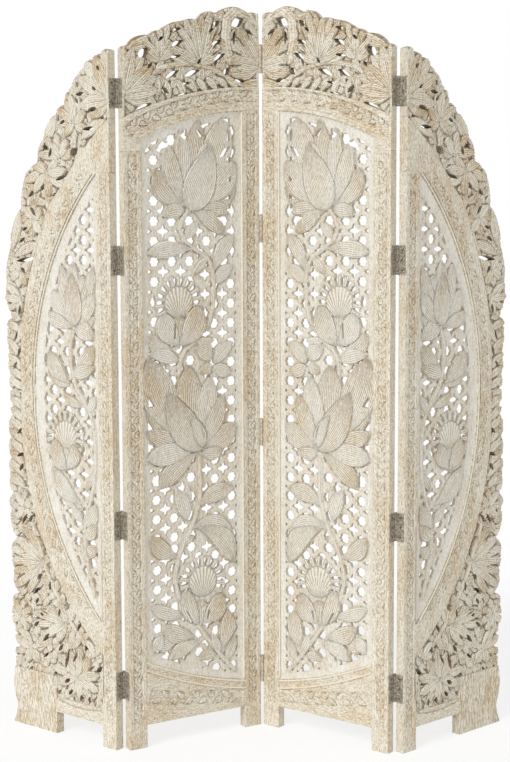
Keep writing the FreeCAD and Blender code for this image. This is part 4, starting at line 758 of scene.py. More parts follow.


# Crests of the middle panels: one board each, glued over the arch, deeply undercut between overlapping
# leaves, with brown painted shade in the crevices.
CREST_EDGE = [
    (0, 1712), (6, 1718), (18, 1719), (42, 1742), (78, 1748), (90, 1758), (105, 1760), (138, 1780),
    (168, 1787), (188, 1793), (208, 1790), (232, 1813), (262, 1811), (309, 1830), (352, 1817),
    (366, 1820), (381, 1817),
]
CREST_HOLES = [
    (44, 1693, 70, 1716, 22), (251, 1777, 270, 1793, 13), (303, 1784, 339, 1802, 24),
    (140, 1763, 160, 1768, 8), (134, 1724, 166, 1740, 12), (130, 1698, 160, 1703, 8),
    (244, 1734, 276, 1746, 10), (250, 1696, 286, 1715, 12), (280, 1662, 299, 1680, 15),
    (312, 1652, 342, 1650, 10), (171, 1655, 214, 1672, 13), (118, 1648, 156, 1668, 12),
    (67, 1668, 82, 1682, 8), (153, 1606, 182, 1615, 8), (106, 1628, 126, 1610, 10),
    (40, 1570, 79, 1586, 12), (163, 1635, 187, 1640, 6), (308, 1736, 314, 1772, 9),
    (344, 1778, 364, 1762, 8), (236, 1763, 252, 1774, 7), (96, 1734, 112, 1746, 8),
    (255, 1682, 262, 1700, 7), (205, 1684, 216, 1700, 7),
]
CREST_CLUSTERS = [
    ((2, 1600), [(92, 1588), (97, 1618), (94, 1650), (84, 1676), (58, 1702), (30, 1716), (4, 1722)],
     40, 3, False),
    ((104, 1690), [(62, 1706), (56, 1738), (80, 1758), (104, 1770), (128, 1778), (152, 1760),
                   (148, 1722)], 27, 2, True),
    ((216, 1686), [(124, 1708), (116, 1730), (130, 1758), (148, 1782), (172, 1796), (196, 1802),
                   (220, 1808), (246, 1818), (264, 1792), (268, 1760), (272, 1735), (262, 1708)],
     29, 2, True),
    ((384, 1690), [(296, 1668), (298, 1704), (302, 1744), (322, 1782), (352, 1800)], 46, 4, True),
]
CREST_LEAVES = [
    (108, 1752, 6, 1712, 34, 6), (386, 1652, 326, 1638, 26, 2), (120, 1642, 126, 1596, 20, 2),
    (150, 1646, 172, 1604, 19, 2), (180, 1650, 204, 1614, 19, 2), (205, 1650, 232, 1618, 19, 2),
    (232, 1654, 262, 1624, 19, 2), (262, 1655, 292, 1630, 18, 2), (290, 1652, 322, 1632, 18, 2),
    (96, 1650, 92, 1600, 20, 2),
]
CREST_ARCH_LEAF = [(300, 1700), (288, 1750), (292, 1796), (320, 1822), (356, 1806), (381, 1775)]
CREST_STEM = [
    (80, 1600), (72, 1628), (80, 1655), (104, 1672), (140, 1680), (180, 1686), (215, 1684),
    (250, 1676), (285, 1660), (320, 1644), (350, 1636),
]
FAN_LEAF = {"crown": 3.2, "lift": 2.0, "fullness": 1.0, "blunt": 0.65}
SINGLE_LEAF = {"crown": 3.2, "lift": 1.4, "fullness": 0.85}
BRANCH_WIDTH = 12.0
SIDE_STRIP = 6.0
SIDE_STRIP_HEIGHT = 7.6
PIT_DEPTH = 6.0
LEAF_GROUND = 9.0
LEAF_STEP = 1.6


def scallops(places):
    """Arcs through every other place of a line, as a line of closer places."""
    line = []
    for corners in zip(places[0:-2:2], places[1:-1:2], places[2::2]):
        start, through, end = np.array(corners, float)
        chord = end - start
        side = np.array([-chord[1], chord[0]]) / np.hypot(*chord)
        bulge = float((through - start) @ side)
        where = float((through - start) @ chord) / float(chord @ chord)
        for share in np.linspace(0.0, 1.0, 7)[:-1]:
            lean = share / where if share < where else (1 - share) / (1 - where)
            line.append(tuple(start + chord * share + side * bulge * math.sin(lean * math.pi / 2)))
    line.append(tuple(map(float, places[-1])))
    return line


def almond(base_s, base_z, tip_s, tip_z, width):
    """Pointed hole between two arcs."""
    spine = np.array([tip_s - base_s, tip_z - base_z], float)
    side = np.array([-spine[1], spine[0]]) / np.hypot(*spine)
    upper, lower = [], []
    for u in np.linspace(0.0, 1.0, 9):
        middle = np.array([base_s, base_z], float) + spine * u
        half = side * width / 2 * 4 * u * (1 - u)
        upper.append(tuple(middle + half))
        lower.append(tuple(middle - half))
    return upper + lower[-2:0:-1]


def leafy_board(rim, seam, holes, clusters, single_leaves, stems, away_from, straight_sides):
    """Face of a leaf board: overlapping leaves all over, fans on top, pits between their leaves.

    A narrow plain strip is left standing along each straight side, where the hinges are."""
    rim = scallops(rim)
    face = CarvedFace((rim + seam)[::-1], LEAF_STEP)
    face.thatch(away_from, length=34.0, width=20.0, level=1.0)
    for path, width in stems:
        face.stem(path, width, level=5.0, crown=3.4)
    for row in single_leaves:
        face.leaf(row, level=4.6, **SINGLE_LEAF)
    for base, tips, width, bend, _ in clusters:
        for index, tip in enumerate(tips):
            face.leaf((*base, *tip, width, bend), level=4.4 + 0.9 * (index % 2), **FAN_LEAF)
    for base, tips, _, _, pitted in clusters:
        for one, two in zip(tips, tips[1:]):
            middle = (np.array(one) + np.array(two)) / 2 - np.array(base)
            spread = math.dist(one, two) / max(np.hypot(*middle), 1.0)
            if pitted and 0.25 < spread < 1.3:
                start, end = np.array(base) + middle * 0.60, np.array(base) + middle * 0.98
                face.pit((*start, *end, 3.5 + 4.0 * spread), PIT_DEPTH)
    for side in straight_sides:
        strip = np.clip((SIDE_STRIP - np.abs(face.s - side)) / EDGE_SLOPE + 0.5, 0.0, 1.0)
        face.height += strip * np.maximum(SIDE_STRIP_HEIGHT - face.height, 0.0)
        face.gouge = np.where(strip > 0, face.s / 4.0 + np.sin(face.z / 30.0) / 2, face.gouge)
        face.stroke = np.where(strip > 0, 0.4, face.stroke)
        face.rubbed = np.where(strip > 0, 0.3, face.rubbed)
    face.roll_edge(rim, reach=6.0, drop=4.0)
    face.inside = np.minimum(face.inside, face.board)
    for hole in holes:
        face.pierce(almond(*hole))
    return face


crest_finish = limewash("limewashed_crest", thinness=0.7, painted_shade_in_cuts=0.72, lines=1.3, figure=0.2)
seam = arc((PANEL_WIDTH, ARCH_TOP_HIGH), (0.0, ARCH_TOP_LOW), ARCH_TOP_RADIUS)
crest = leafy_board(
    CREST_EDGE, seam + [(0.0, ARCH_TOP_LOW)], CREST_HOLES, CREST_CLUSTERS, CREST_LEAVES,
    [(CREST_STEM, BRANCH_WIDTH), (CREST_ARCH_LEAF, 26.0)], away_from=(190.0, 1250.0),
    straight_sides=(0.0, PANEL_WIDTH),
)
stand(INNER_PANELS, "crest", crest, "leaf_carving", crest_finish, front=LEAF_GROUND, grain_up=False)


# Pierced fields of the middle panels: a 10 mm board in the grooves of its frame, sawn to a
# lattice of crosses and lobed stars, with a lotus, a daisy and bending leaves left proud.
LATTICE_PITCH = 49.0
STAR_RADIUS = 14.2
CROSS_REACH = 18.8
STEM_WIDTH = 11.0
DAISY_RADIUS = 66.0
DAISY_EYE = 40.0
DAISY_STROKES = 22
FIELD_FACE = 6.0
FIELD_BACK = 16.0
FIELD_ROUND = 1.6
INNER_FIELD_STEP = 2.4
PETAL_LENGTH = 95.0
PETAL = {"crown": 1.5, "lift": 1.2, "fullness": 1.35, "blunt": 0.75}
FIELD_LEAF = {"crown": 1.5, "lift": 0.8, "fullness": 0.9}
CALYX_LEAF = {"crown": 1.3, "lift": 0.5, "fullness": 1.2, "blunt": 0.6}
BUD = {"crown": 1.4, "fullness": 0.72, "blunt": 0.75, "rim": 1.2, "line": 5.0}
INNER_LATTICE = [
    (61.0, 594.0, 0.0, 505.0, 196.0, 1830.0), (61.0, 594.0, 196.0, 1205.0, 381.0, 1830.0),
    (277.0, 683.0, 196.0, 0.0, 381.0, 1205.0), (61.0, 466.0, 0.0, 0.0, 196.0, 505.0),
]
INNER_LEAVES = [
    (178, 1336, 210, 1552, 58, 0), (172, 1336, 162, 1530, 46, 4), (170, 1336, 116, 1494, 50, 6),
    (168, 1334, 84, 1428, 62, 8), (200, 1350, 286, 1560, 84, -8), (205, 1340, 312, 1452, 74, -6),
    (205, 1338, 314, 1388, 56, -6), (196, 1336, 300, 1330, 36, 4), (190, 1332, 280, 1276, 44, 6),
    (168, 1332, 106, 1318, 40, -6), (205, 1400, 236, 1500, 44, 0), (190, 1236, 64, 1226, 42, -6),
    (248, 1176, 306, 1272, 40, 6), (250, 1150, 306, 1196, 34, 4), (168, 1262, 205, 1300, 26, 0),
    (232, 1216, 190, 1172, 20, 0),
    (182, 1030, 246, 1062, 30, -4), (196, 1010, 250, 1010, 22, -4), (150, 964, 64, 1030, 44, 8),
    (150, 962, 64, 982, 34, -4), (240, 962, 196, 992, 44, -8), (250, 950, 306, 1004, 36, 6),
    (250, 944, 300, 926, 34, -4), (240, 950, 206, 930, 26, 4), (190, 742, 176, 950, 78, 6),
    (200, 740, 240, 918, 62, -2), (206, 736, 274, 872, 50, -6), (212, 736, 312, 796, 60, -8),
    (212, 728, 276, 732, 34, -6), (160, 760, 62, 972, 98, 12), (180, 748, 56, 846, 56, 6),
    (190, 742, 54, 790, 48, 2), (198, 738, 56, 722, 56, -4), (202, 730, 92, 648, 52, -8),
    (196, 592, 304, 632, 44, 10), (168, 560, 136, 646, 40, -6),
    (176, 600, 170, 650, 18, 0), (172, 536, 306, 508, 44, 26), (196, 540, 304, 440, 60, 24),
    (145, 469, 64, 528, 48, 10), (152, 500, 190, 520, 18, 0), (206, 296, 150, 340, 24, 4),
    (166, 318, 64, 352, 36, 6), (190, 262, 96, 296, 46, 8), (206, 246, 116, 214, 40, -8),
    (130, 262, 68, 258, 40, 6), (262, 214, 286, 318, 46, -8), (262, 214, 240, 262, 26, 4),
    (250, 206, 200, 200, 26, -4), (278, 186, 306, 250, 26, -4), (96, 276, 70, 238, 30, 0),
]
INNER_STEMS = [
    [(186, 1340), (164, 1312), (154, 1286), (167, 1257), (200, 1234), (233, 1213), (246, 1186),
     (250, 1150), (248, 1094), (238, 1062), (221, 1040), (192, 1006), (167, 988), (154, 966),
     (150, 930)],
    [(206, 716), (208, 650), (206, 610), (192, 569), (177, 532), (158, 502), (146, 473), (137, 444),
     (133, 411), (142, 373), (167, 332), (200, 286), (233, 240), (267, 198), (304, 158)],
]
INNER_DAISIES = [(150, 1106), (212, 400)]
INNER_SPACES = [
    [(62, 850), (82, 853), (62, 882)], [(62, 792), (80, 795), (62, 822)],
    [(62, 740), (82, 750), (62, 765)], [(76, 655), (95, 652), (92, 695)],
    [(62, 1462), (78, 1484), (62, 1475)], [(96, 1484), (108, 1478), (131, 1486), (112, 1500)],
    [(125, 1505), (136, 1493), (147, 1517)], [(155, 1512), (174, 1498), (178, 1527)],
    [(200, 1528), (214, 1506), (224, 1512), (212, 1526)], [(213, 1536), (226, 1529), (242, 1546)],
    [(277, 1555), (300, 1543), (300, 1557)], [(288, 1502), (299, 1500), (298, 1522), (290, 1534)],
    [(265, 1460), (285, 1464), (299, 1490), (280, 1482)], [(285, 1458), (299, 1446), (300, 1466)],
    [(286, 1404), (300, 1401), (300, 1416)], [(276, 1355), (300, 1360), (300, 1371)],
    [(288, 1330), (298, 1325), (299, 1345), (292, 1349)], [(254, 1316), (275, 1301), (298, 1309)],
    [(134, 1016), (140, 1016), (141, 1050), (136, 1063)],
    [(161, 329), (168, 328), (186, 296), (178, 295)], [(226, 326), (231, 325), (226, 302), (221, 303)],
]
INNER_CALYXES = [
    (152, 1000, 150, 1073, 62, 0), (148, 1000, 104, 1080, 58, 10), (157, 1000, 208, 1096, 64, -10),
    (204, 288, 207, 354, 50, 0), (198, 290, 160, 384, 48, 8), (212, 292, 270, 362, 54, -8),
]
INNER_BUDS = [
    (182, 1330, 244, 1490, 88, -4), (208, 736, 114, 888, 84, 8), (214, 744, 176, 826, 36, -6),
]


def spoked(centre, spokes):
    """Closed shape from pairs of degrees and reach round a centre."""
    turns = [(math.radians(degrees), reach) for degrees, reach in spokes]
    return [(centre[0] + math.cos(a) * reach, centre[1] + math.sin(a) * reach) for a, reach in turns]


def star_hole(centre):
    """Round hole with eight small lobes."""
    lobes = [abs(math.cos(math.radians(step * 7.5 * 4))) for step in range(48)]
    return spoked(centre, [
        (step * 7.5, STAR_RADIUS * (0.80 + 0.20 * lobe)) for step, lobe in enumerate(lobes)
    ])


def cross_hole(centre):
    """Four-pointed hole with a waisted heart."""
    return spoked(centre, [
        (arm * 90.0 + degrees, CROSS_REACH * share)
        for arm in range(4)
        for degrees, share in ((-19.0, 0.7), (0.0, 1.0), (19.0, 0.7), (45.0, 0.44))
    ])


def lattice(regions, zone):
    """Holes of the lattice, region by region, whose middle lies in the pierced zone."""
    taken, holes = [], []
    low, high = np.array(zone).min(0), np.array(zone).max(0)
    for cross_s, cross_z, left, bottom, right, top in regions:
        first = (low - (cross_s, cross_z)) // LATTICE_PITCH
        last = (high - (cross_s, cross_z)) // LATTICE_PITCH + 2
        for column in np.arange(first[0], last[0]):
            for row in np.arange(first[1], last[1]):
                for shift, make in ((0.0, cross_hole), (LATTICE_PITCH / 2, star_hole)):
                    across = cross_s + column * LATTICE_PITCH + shift
                    up = cross_z + row * LATTICE_PITCH + shift
                    here = left <= across < right and bottom <= up < top
                    if here and all(math.dist(t, (across, up)) >= LATTICE_PITCH * 0.6 for t in taken):
                        taken.append((across, up))
                        holes.append(make((across, up)))
    return holes


def daisy(face, centre):
    """Open flower: a domed eye with fanned strokes, and rounded petals with slots between."""
    here = face.near([centre], DAISY_RADIUS + 4)
    ds, dz = face.s[here] - centre[0], face.z[here] - centre[1]
    reach = np.hypot(ds, dz)
    angle = np.degrees(np.arctan2(dz, ds))
    within = np.abs((angle + 10) % 20 - 10) / 10
    petal_end = DAISY_RADIUS - 1.5 - 2.0 * np.cos(np.pi * within)
    petal = 1.8 + 1.6 * np.sqrt(within) * np.sqrt(np.clip((petal_end - reach) / 8, 0, 1))
    fanned = np.arctan2(ds, dz + 1.1 * DAISY_EYE) / math.pi * DAISY_STROKES
    dome = np.sqrt(np.clip(1 - (reach / DAISY_EYE) ** 2, 0, 1))
    eye = 1.8 + 1.4 * dome + 0.7 * np.cos(2 * math.pi * fanned)
    ditch = 1.8 * np.exp(-((reach - DAISY_EYE) / 1.6) ** 2)
    level = np.where(reach < DAISY_EYE, eye, petal) - ditch
    gouge = np.where(reach < DAISY_EYE, fanned, angle / 5)
    face.lay(here, reach < petal_end, level, petal_end - reach, gouge, 1.0)
    for degrees in range(-20, 201, 20):
        ray = np.array([math.cos(math.radians(degrees)), math.sin(math.radians(degrees))])
        side = np.array([-ray[1], ray[0]])
        inner, outer = centre + ray * (DAISY_EYE + 2), centre + ray * (DAISY_RADIUS - 8)
        tip = centre + ray * (DAISY_RADIUS - 4)
        face.pierce([
            tuple(inner - side * 3.0), tuple(outer - side * 6.2), tuple(tip), tuple(outer + side * 6.2),
            tuple(inner + side * 3.0),
        ])


def pierced_face(edge, zone, step, regions, leaves, stems, daisies, calyxes, buds, spaces=()):
    """Face of a pierced field: lattice first, then flowers, stems and leaves over it."""
    face = CarvedFace(edge, step)
    piercing = depth_inside(zone, face.s, face.z)
    face.rubbed = np.where(piercing > 0, 0.3, 0.0)
    from_frame = face.board - 3.0
    face.height += np.where(from_frame > 0, 3.6 * np.exp(-from_frame / 5.0), 0.0)
    for hole in lattice(regions, zone):
        face.pierce(hole)
    face.inside = np.maximum(face.inside, np.minimum(-piercing, face.board))
    for centre in daisies:
        daisy(face, np.array(centre, float))
    for path in stems:
        face.stem(path, STEM_WIDTH, level=1.6, crown=2.6)
    for index, row in enumerate(leaves):
        level = 1.3 + 0.6 * (index % 3)
        if math.dist(row[:2], row[2:4]) > PETAL_LENGTH:
            face.leaf(row, level, **PETAL)
        else:
            face.leaf((*row[:4], row[4] * 1.05, row[5]), level, **FIELD_LEAF)
    for index, row in enumerate(calyxes):
        face.leaf(row, level=2.8 + 0.7 * (index % 3), **CALYX_LEAF)
    for index, row in enumerate(buds):
        face.leaf(row, level=3.4 + 0.7 * index, **BUD)
    for space in spaces:
        face.pierce(space)
    face.inside = np.minimum(face.inside, face.board)
    return face


# The fields get a paler tan painted shade in their recesses and only a little on their sawn walls.
field_finish = limewash(
    "limewashed_field", wash=linear(233, 231, 222), crevice_shade_colour=linear(150, 130, 100), thinness=0.5,
    painted_shade_in_cuts=0.38, painted_shade_on_walls=0.25, lines=1.8,
)
edge = outline([
    (INNER_STILE - 3, RAIL_HIGH - 3, RAIL_RADIUS), (INNER_FAR + 3, RAIL_LOW - 3),
    (INNER_FAR + 3, CENTRE_STILE_TOP + 3, ARCH_RADIUS), (INNER_STILE - 3, ARCH_LOW + 3),
])
zone = outline([
    (INNER_STILE + 18, RAIL_HIGH + 14, RAIL_RADIUS), (INNER_FAR - 18, RAIL_LOW + 20),
    (INNER_FAR - 18, CENTRE_STILE_TOP - 22, ARCH_RADIUS), (INNER_STILE + 18, ARCH_LOW - 16),
])
field = pierced_face(
    edge, zone, INNER_FIELD_STEP, INNER_LATTICE, INNER_LEAVES, INNER_STEMS, INNER_DAISIES,
    INNER_CALYXES, INNER_BUDS, INNER_SPACES,
)
IN_FRAME = {"front": FIELD_FACE, "back": FIELD_BACK, "worn": FIELD_ROUND}
stand(INNER_PANELS, "jali_field", field, "carved_field", field_finish, **IN_FRAME)


# End panels: hinge-side stile, bottom rail and wide foot, which stands wavy at its free side.
OUTER_STILE = 46.0
OUTER_STILE_TOP = 1421.0
FOOT_START = 210.0
FOOT_HEIGHT = 150.0
TOE_BOTTOM = 57.0
TOE_TOP = 95.0
HOLLOW_RADIUS = 320.0
FOOT_EDGE = [(374.0, 0.0, -75.0), (361.0, 55.0, 150.0), (366.0, FOOT_HEIGHT)]

post = CarvedFace(rectangle(0.0, 0.0, OUTER_STILE, OUTER_STILE_TOP), FRAME_STEP)
post.chased(spacing=6.5, lean=0.0, share=0.5)
run = [(OUTER_STILE / 2, VINE_FOOT), (OUTER_STILE / 2, OUTER_STILE_TOP - VINE_END)]
post.vine(run, breadth=24.0, pitch=VINE_PITCH, depth=VINE_DEPTH)
post.slit([(44.5, 320.0), (44.5, 560.0)], width=5.0)
post.slit([(43.0, 128.0), (44.0, 232.0)], width=4.0)
stand(OUTER_PANELS, "stile", post, "frame_wood", frame_finish)

rail = CarvedFace(rectangle(OUTER_STILE, TOE_BOTTOM, FOOT_START, TOE_TOP), FRAME_STEP)
hollow = arc((FOOT_START, TOE_TOP - 2.0), (OUTER_STILE, TOE_TOP - 2.0), -HOLLOW_RADIUS)
rail.score(hollow, width=8.0, depth=2.2)
rail.score(shifted(hollow, 0.0, -10.0), width=6.0, depth=-1.4)
stand(OUTER_PANELS, "bottom_rail", rail, "frame_wood", frame_finish, grain_up=False)

foot_finish = limewash(
    "limewashed_foot", crevice_shade_colour=FRAME_CREVICE_PAINTED_SHADE, thinness=0.72, painted_shade_in_cuts=0.7, figure=0.7, figure_run=4.5
)
foot = CarvedFace(outline([(FOOT_START, 0.0)] + FOOT_EDGE + [(FOOT_START, FOOT_HEIGHT)]), FRAME_STEP)
foot.flutes(spacing=11.0, depth=1.8, sway=5.0)
foot.roll_edge(outline(FOOT_EDGE), reach=6.0, drop=3.0)
stand(OUTER_PANELS, "foot", foot, "frame_wood", foot_finish)


# The band of an end panel curves round its lens-shaped field in two halves, which meet in a
# scarf at the widest point. A bead and an open joint follow its inner edge.
SPLIT = 875.0
OPENING_REACH = 271.0
BAND_REACH = 320.0
OPENING_LOW = 316.0
BAND_LOW = 236.0
OPENING_UPPER = 745.0
OPENING_LOWER = 787.0
BAND_UPPER = 764.0
BAND_LOWER = 748.0
LIP_INSET = 2.3
BAND_STEP = 1.5


def half_band(half, corners, lip, slit_rise, middle):
    """One half of the band, with its bead and open joint along the lip and a vine down its middle."""
    band = CarvedFace(outline(corners), BAND_STEP)
    band.chased(spacing=6.5, lean=0.0, share=0.4)
    moulding(OUTER_PANELS, f"band_{half}_bead", lip, depth=1.0, radius=2.0)
    band.slit(shifted(lip, 3.4, slit_rise), width=2.6)
    band.vine(middle, breadth=26.0, pitch=40.0, depth=1.5)
    stand(OUTER_PANELS, f"band_{half}", band, "frame_wood", frame_finish)


inner = arc((OUTER_STILE, OUTER_STILE_TOP), (OPENING_REACH, SPLIT), -OPENING_UPPER)[1:]
corners = [
    (0.0, OUTER_STILE_TOP), (OUTER_STILE, OUTER_STILE_TOP, -OPENING_UPPER), (OPENING_REACH, SPLIT),
    (BAND_REACH, SPLIT, BAND_UPPER), (0.0, ARCH_TOP_LOW),
]
lip = shifted(inner, LIP_INSET, 0.8) + [(OPENING_REACH + LIP_INSET, SPLIT)]
middle = shifted(inner, 27.0, 8.0) + [(OPENING_REACH + 27.0, SPLIT + 2.0)]
half_band("upper", corners, lip, 1.2, middle)

inner = arc((OPENING_REACH, SPLIT), (OUTER_STILE, OPENING_LOW), -OPENING_LOWER)
corners = [
    (OUTER_STILE, BAND_LOW, BAND_LOWER), (BAND_REACH, SPLIT), (OPENING_REACH, SPLIT, -OPENING_LOWER),
    (OUTER_STILE, OPENING_LOW),
]
half_band("lower", corners, shifted(inner, LIP_INSET, -0.8), -1.2, shifted(inner[:-2], 24.0, -7.0))


# Leaf boards of the end panels, above and below the scarf: thick boards carved right out to
# their scalloped edge into fans and swirls of leaves.
UPPER_EDGE = [
    (0, 1708), (13, 1712), (25, 1702), (42, 1700), (54, 1690), (73, 1688), (86, 1672), (112, 1656),
    (130, 1630), (150, 1612), (152, 1588), (172, 1584), (186, 1566), (214, 1548), (226, 1508),
    (252, 1478), (250, 1450), (296, 1424), (316, 1338), (344, 1304), (360, 1232), (374, 1190),
    (374, 1148), (379, 1120), (372, 1092), (364, 1078), (356, 1060), (374, 1050), (374, 1020),
    (376, 1000), (370, 970), (374, 940), (368, 912), (372, 892), (366, 875),
]
LOWER_EDGE = [
    (366, 875), (370, 860), (362, 842), (366, 828), (360, 812), (378, 790), (368, 752), (380, 732),
    (372, 706), (379, 680), (372, 652), (378, 630), (370, 608), (380, 586), (372, 560), (378, 536),
    (369, 512), (362, 500), (352, 490), (372, 474), (374, 450), (374, 424), (366, 400), (370, 372),
    (352, 345), (374, 330), (372, 305), (376, 284), (368, 260), (364, 228), (350, 203), (366, 196),
    (366, 150),
]
UPPER_HOLES = [
    (78, 1611, 114, 1610, 10), (38, 1574, 70, 1570, 11), (46, 1528, 88, 1526, 10),
    (114, 1484, 130, 1464, 15), (148, 1550, 166, 1542, 9), (100, 1588, 112, 1602, 8),
    (262, 1214, 330, 1206, 12), (298, 1176, 314, 1190, 12), (196, 1486, 206, 1462, 10),
    (218, 1500, 226, 1476, 10), (150, 1416, 184, 1406, 9), (222, 1398, 240, 1380, 9),
    (262, 1384, 286, 1366, 10), (256, 1318, 276, 1342, 10), (286, 1290, 312, 1284, 9),
    (300, 1266, 322, 1252, 9), (318, 1096, 324, 1070, 9), (330, 1030, 346, 1000, 9),
    (324, 990, 332, 960, 9), (336, 950, 350, 930, 9), (28, 1662, 38, 1674, 9), (42, 1616, 54, 1626, 8),
]
LOWER_HOLES = [
    (232, 258, 262, 232, 11), (160, 152, 180, 140, 11), (50, 200, 70, 186, 13),
    (162, 232, 176, 176, 12), (130, 230, 150, 196, 9), (186, 238, 204, 216, 10),
    (240, 500, 252, 470, 10), (262, 410, 274, 392, 11), (270, 372, 292, 352, 10),
    (226, 396, 234, 368, 9), (158, 348, 170, 330, 11), (128, 300, 134, 280, 9),
    (192, 330, 200, 306, 9), (270, 284, 292, 266, 10), (252, 302, 266, 306, 8),
    (100, 250, 110, 232, 10), (90, 120, 96, 100, 9), (118, 120, 124, 100, 10),
    (150, 126, 168, 110, 10), (196, 116, 214, 102, 10), (270, 346, 286, 326, 9),
    (322, 780, 340, 764, 9), (318, 716, 342, 706, 9), (320, 690, 334, 668, 10),
    (306, 560, 330, 530, 11), (286, 560, 302, 536, 11), (218, 466, 230, 448, 9),
    (240, 206, 262, 190, 9), (300, 160, 312, 142, 9), (210, 160, 226, 150, 8),
]


def ring(centre, reach, count, turn=0.0):
    """Tips all round a centre."""
    turns = [math.radians(turn + step * 360.0 / count) for step in range(count + 1)]
    return [(centre[0] + math.cos(a) * reach, centre[1] + math.sin(a) * reach) for a in turns]


UPPER_CLUSTERS = [
    ((0, 1590), [(60, 1552), (98, 1580), (106, 1612), (104, 1650), (84, 1688), (50, 1700), (18, 1712)],
     42, 4, False),
    ((118, 1540), [(72, 1528), (78, 1575), (102, 1606), (130, 1612), (152, 1600), (176, 1578),
                   (172, 1545), (150, 1512)], 27, 3, False),
    ((168, 1462), [(120, 1478), (146, 1506), (185, 1520), (220, 1512), (248, 1470)], 28, 3, True),
    ((215, 1425), [(150, 1390), (146, 1430), (178, 1458), (272, 1450), (298, 1404), (262, 1376),
                   (206, 1366)], 28, 3, False),
    ((268, 1310), ring((268, 1310), 44, 8), 29, 3, False),
    ((318, 1180), ring((318, 1180), 42, 8, 10), 28, 3, False),
    ((318, 1104), [(370, 1146), (378, 1112), (364, 1082), (326, 1070)], 26, 3, True),
]
UPPER_LEAVES = [
    (15, 1545, 100, 1500, 30, 4), (180, 1565, 246, 1475, 34, -4), (250, 1250, 342, 1215, 28, 4),
    (318, 1335, 350, 1228, 30, -4), (345, 995, 312, 1054, 26, 4), (320, 960, 374, 1010, 22, 3),
    (318, 930, 374, 968, 22, 3), (318, 905, 372, 934, 20, 3), (318, 880, 370, 902, 20, 3),
    (326, 1030, 374, 1046, 22, 3),
]
LOWER_CLUSTERS = [
    ((318, 575), ring((318, 575), 46, 8), 30, 3, True),
    ((255, 440), [(310, 520), (352, 492), (372, 462), (370, 430), (366, 398), (352, 362), (310, 350)],
     36, 4, True),
    ((172, 292), [(150, 350), (200, 345), (246, 326), (294, 304), (300, 272), (252, 246), (205, 240)],
     30, 4, True),
    ((338, 290), ring((338, 290), 44, 8, 12), 30, 3, True),
    ((300, 205), [(345, 255), (368, 228), (362, 190), (320, 168), (272, 176)], 30, 3, True),
    ((136, 160), [(62, 138), (58, 180), (88, 222), (124, 244), (166, 226), (200, 210), (226, 172),
                  (206, 132), (164, 106), (120, 100), (86, 108), (62, 138)], 31, 3, True),
    ((72, 226), [(54, 270), (104, 262), (106, 228)], 22, 2, True),
]
LOWER_LEAVES = (
    [(318, 624 + 29 * k, 377 - 6 * (k % 2), 656 + 28 * k, 25, 8) for k in range(8)]
    + [(326 + 7 * (k % 2), 634 + 29 * k, 350 + 9 * (k % 2), 672 + 28 * k, 17, -5) for k in range(7)]
    + [(262, 330, 306, 352, 26, 3), (214, 380, 262, 402, 24, 3)]
)
UPPER_STEM = [(100, 1455), (150, 1400), (200, 1350), (230, 1300), (262, 1240), (290, 1180)]
LOWER_STEM = [(300, 560), (270, 470), (220, 380), (150, 290), (80, 225)]

leaf_finish = limewash("limewashed_leaves", thinness=0.56, painted_shade_in_cuts=0.64, lines=1.3, figure=0.15)
seam = arc((BAND_REACH, SPLIT), (0.0, ARCH_TOP_LOW), BAND_UPPER) + [(0.0, ARCH_TOP_LOW)]
upper = leafy_board(
    UPPER_EDGE, seam, UPPER_HOLES, UPPER_CLUSTERS, UPPER_LEAVES, [(UPPER_STEM, BRANCH_WIDTH)],
    away_from=(0.0, 1000.0), straight_sides=(0.0,),
)
seam = [(FOOT_START, FOOT_HEIGHT), (FOOT_START, TOE_TOP), (OUTER_STILE, TOE_TOP)]
seam += arc((OUTER_STILE, BAND_LOW), (BAND_REACH, SPLIT), BAND_LOWER) + [(BAND_REACH, SPLIT)]
lower = leafy_board(
    LOWER_EDGE, seam, LOWER_HOLES, LOWER_CLUSTERS, LOWER_LEAVES, [(LOWER_STEM, BRANCH_WIDTH)],
    away_from=(0.0, 620.0), straight_sides=(),
)
for node, board in (("leaf_board_upper", upper), ("leaf_board_lower", lower)):
    stand(OUTER_PANELS, node, board, "leaf_carving", leaf_finish, front=LEAF_GROUND)


# Pierced fields of the end panels, in the lens between stile and band, with one lotus over a
# daisy on a long bent stem.
OUTER_FIELD_STEP = 1.9
OUTER_LATTICE = [
    (75.0, 1235.0, 0.0, 1016.0, 381.0, 1830.0), (136.0, 861.0, 0.0, 695.0, 381.0, 1016.0),
    (155.5, 533.0, 0.0, 348.0, 381.0, 695.0),
]
OUTER_LEAVES = [
    (128, 1044, 100, 1172, 64, 6), (128, 1044, 62, 1196, 40, 8), (128, 1044, 60, 1130, 44, 6),
    (128, 1044, 58, 1072, 36, 4), (130, 1046, 132, 1206, 46, -2), (130, 1046, 172, 1198, 42, -6),
    (130, 1046, 206, 1136, 46, -8), (130, 1046, 222, 1078, 38, -6), (128, 1042, 62, 1018, 46, -8),
    (142, 930, 62, 1000, 46, 8), (140, 925, 60, 950, 34, 0), (150, 905, 224, 980, 48, -8),
    (150, 900, 226, 930, 28, -4), (110, 850, 172, 880, 24, -4), (92, 835, 60, 880, 24, 4),
    (84, 830, 62, 846, 20, 0), (162, 690, 220, 728, 30, -6), (112, 604, 214, 690, 50, -14),
    (112, 596, 196, 640, 30, -8), (106, 548, 62, 612, 42, 6), (104, 520, 62, 560, 34, 4),
    (100, 480, 64, 500, 30, 0), (112, 560, 148, 606, 26, -4), (98, 460, 120, 520, 20, 0),
    (66, 690, 98, 640, 20, 0),
]
OUTER_STEM = [
    (128, 1046), (142, 1010), (146, 985), (143, 950), (127, 898), (98, 862), (76, 830), (68, 800),
    (64, 760), (64, 700), (72, 650), (88, 600), (102, 550), (104, 500), (92, 440), (72, 380),
]
OUTER_DAISIES = [(168, 770)]
OUTER_CALYXES = [
    (163, 690, 166, 744, 42, 0), (160, 690, 128, 754, 42, 6), (166, 690, 208, 762, 46, -6),
]
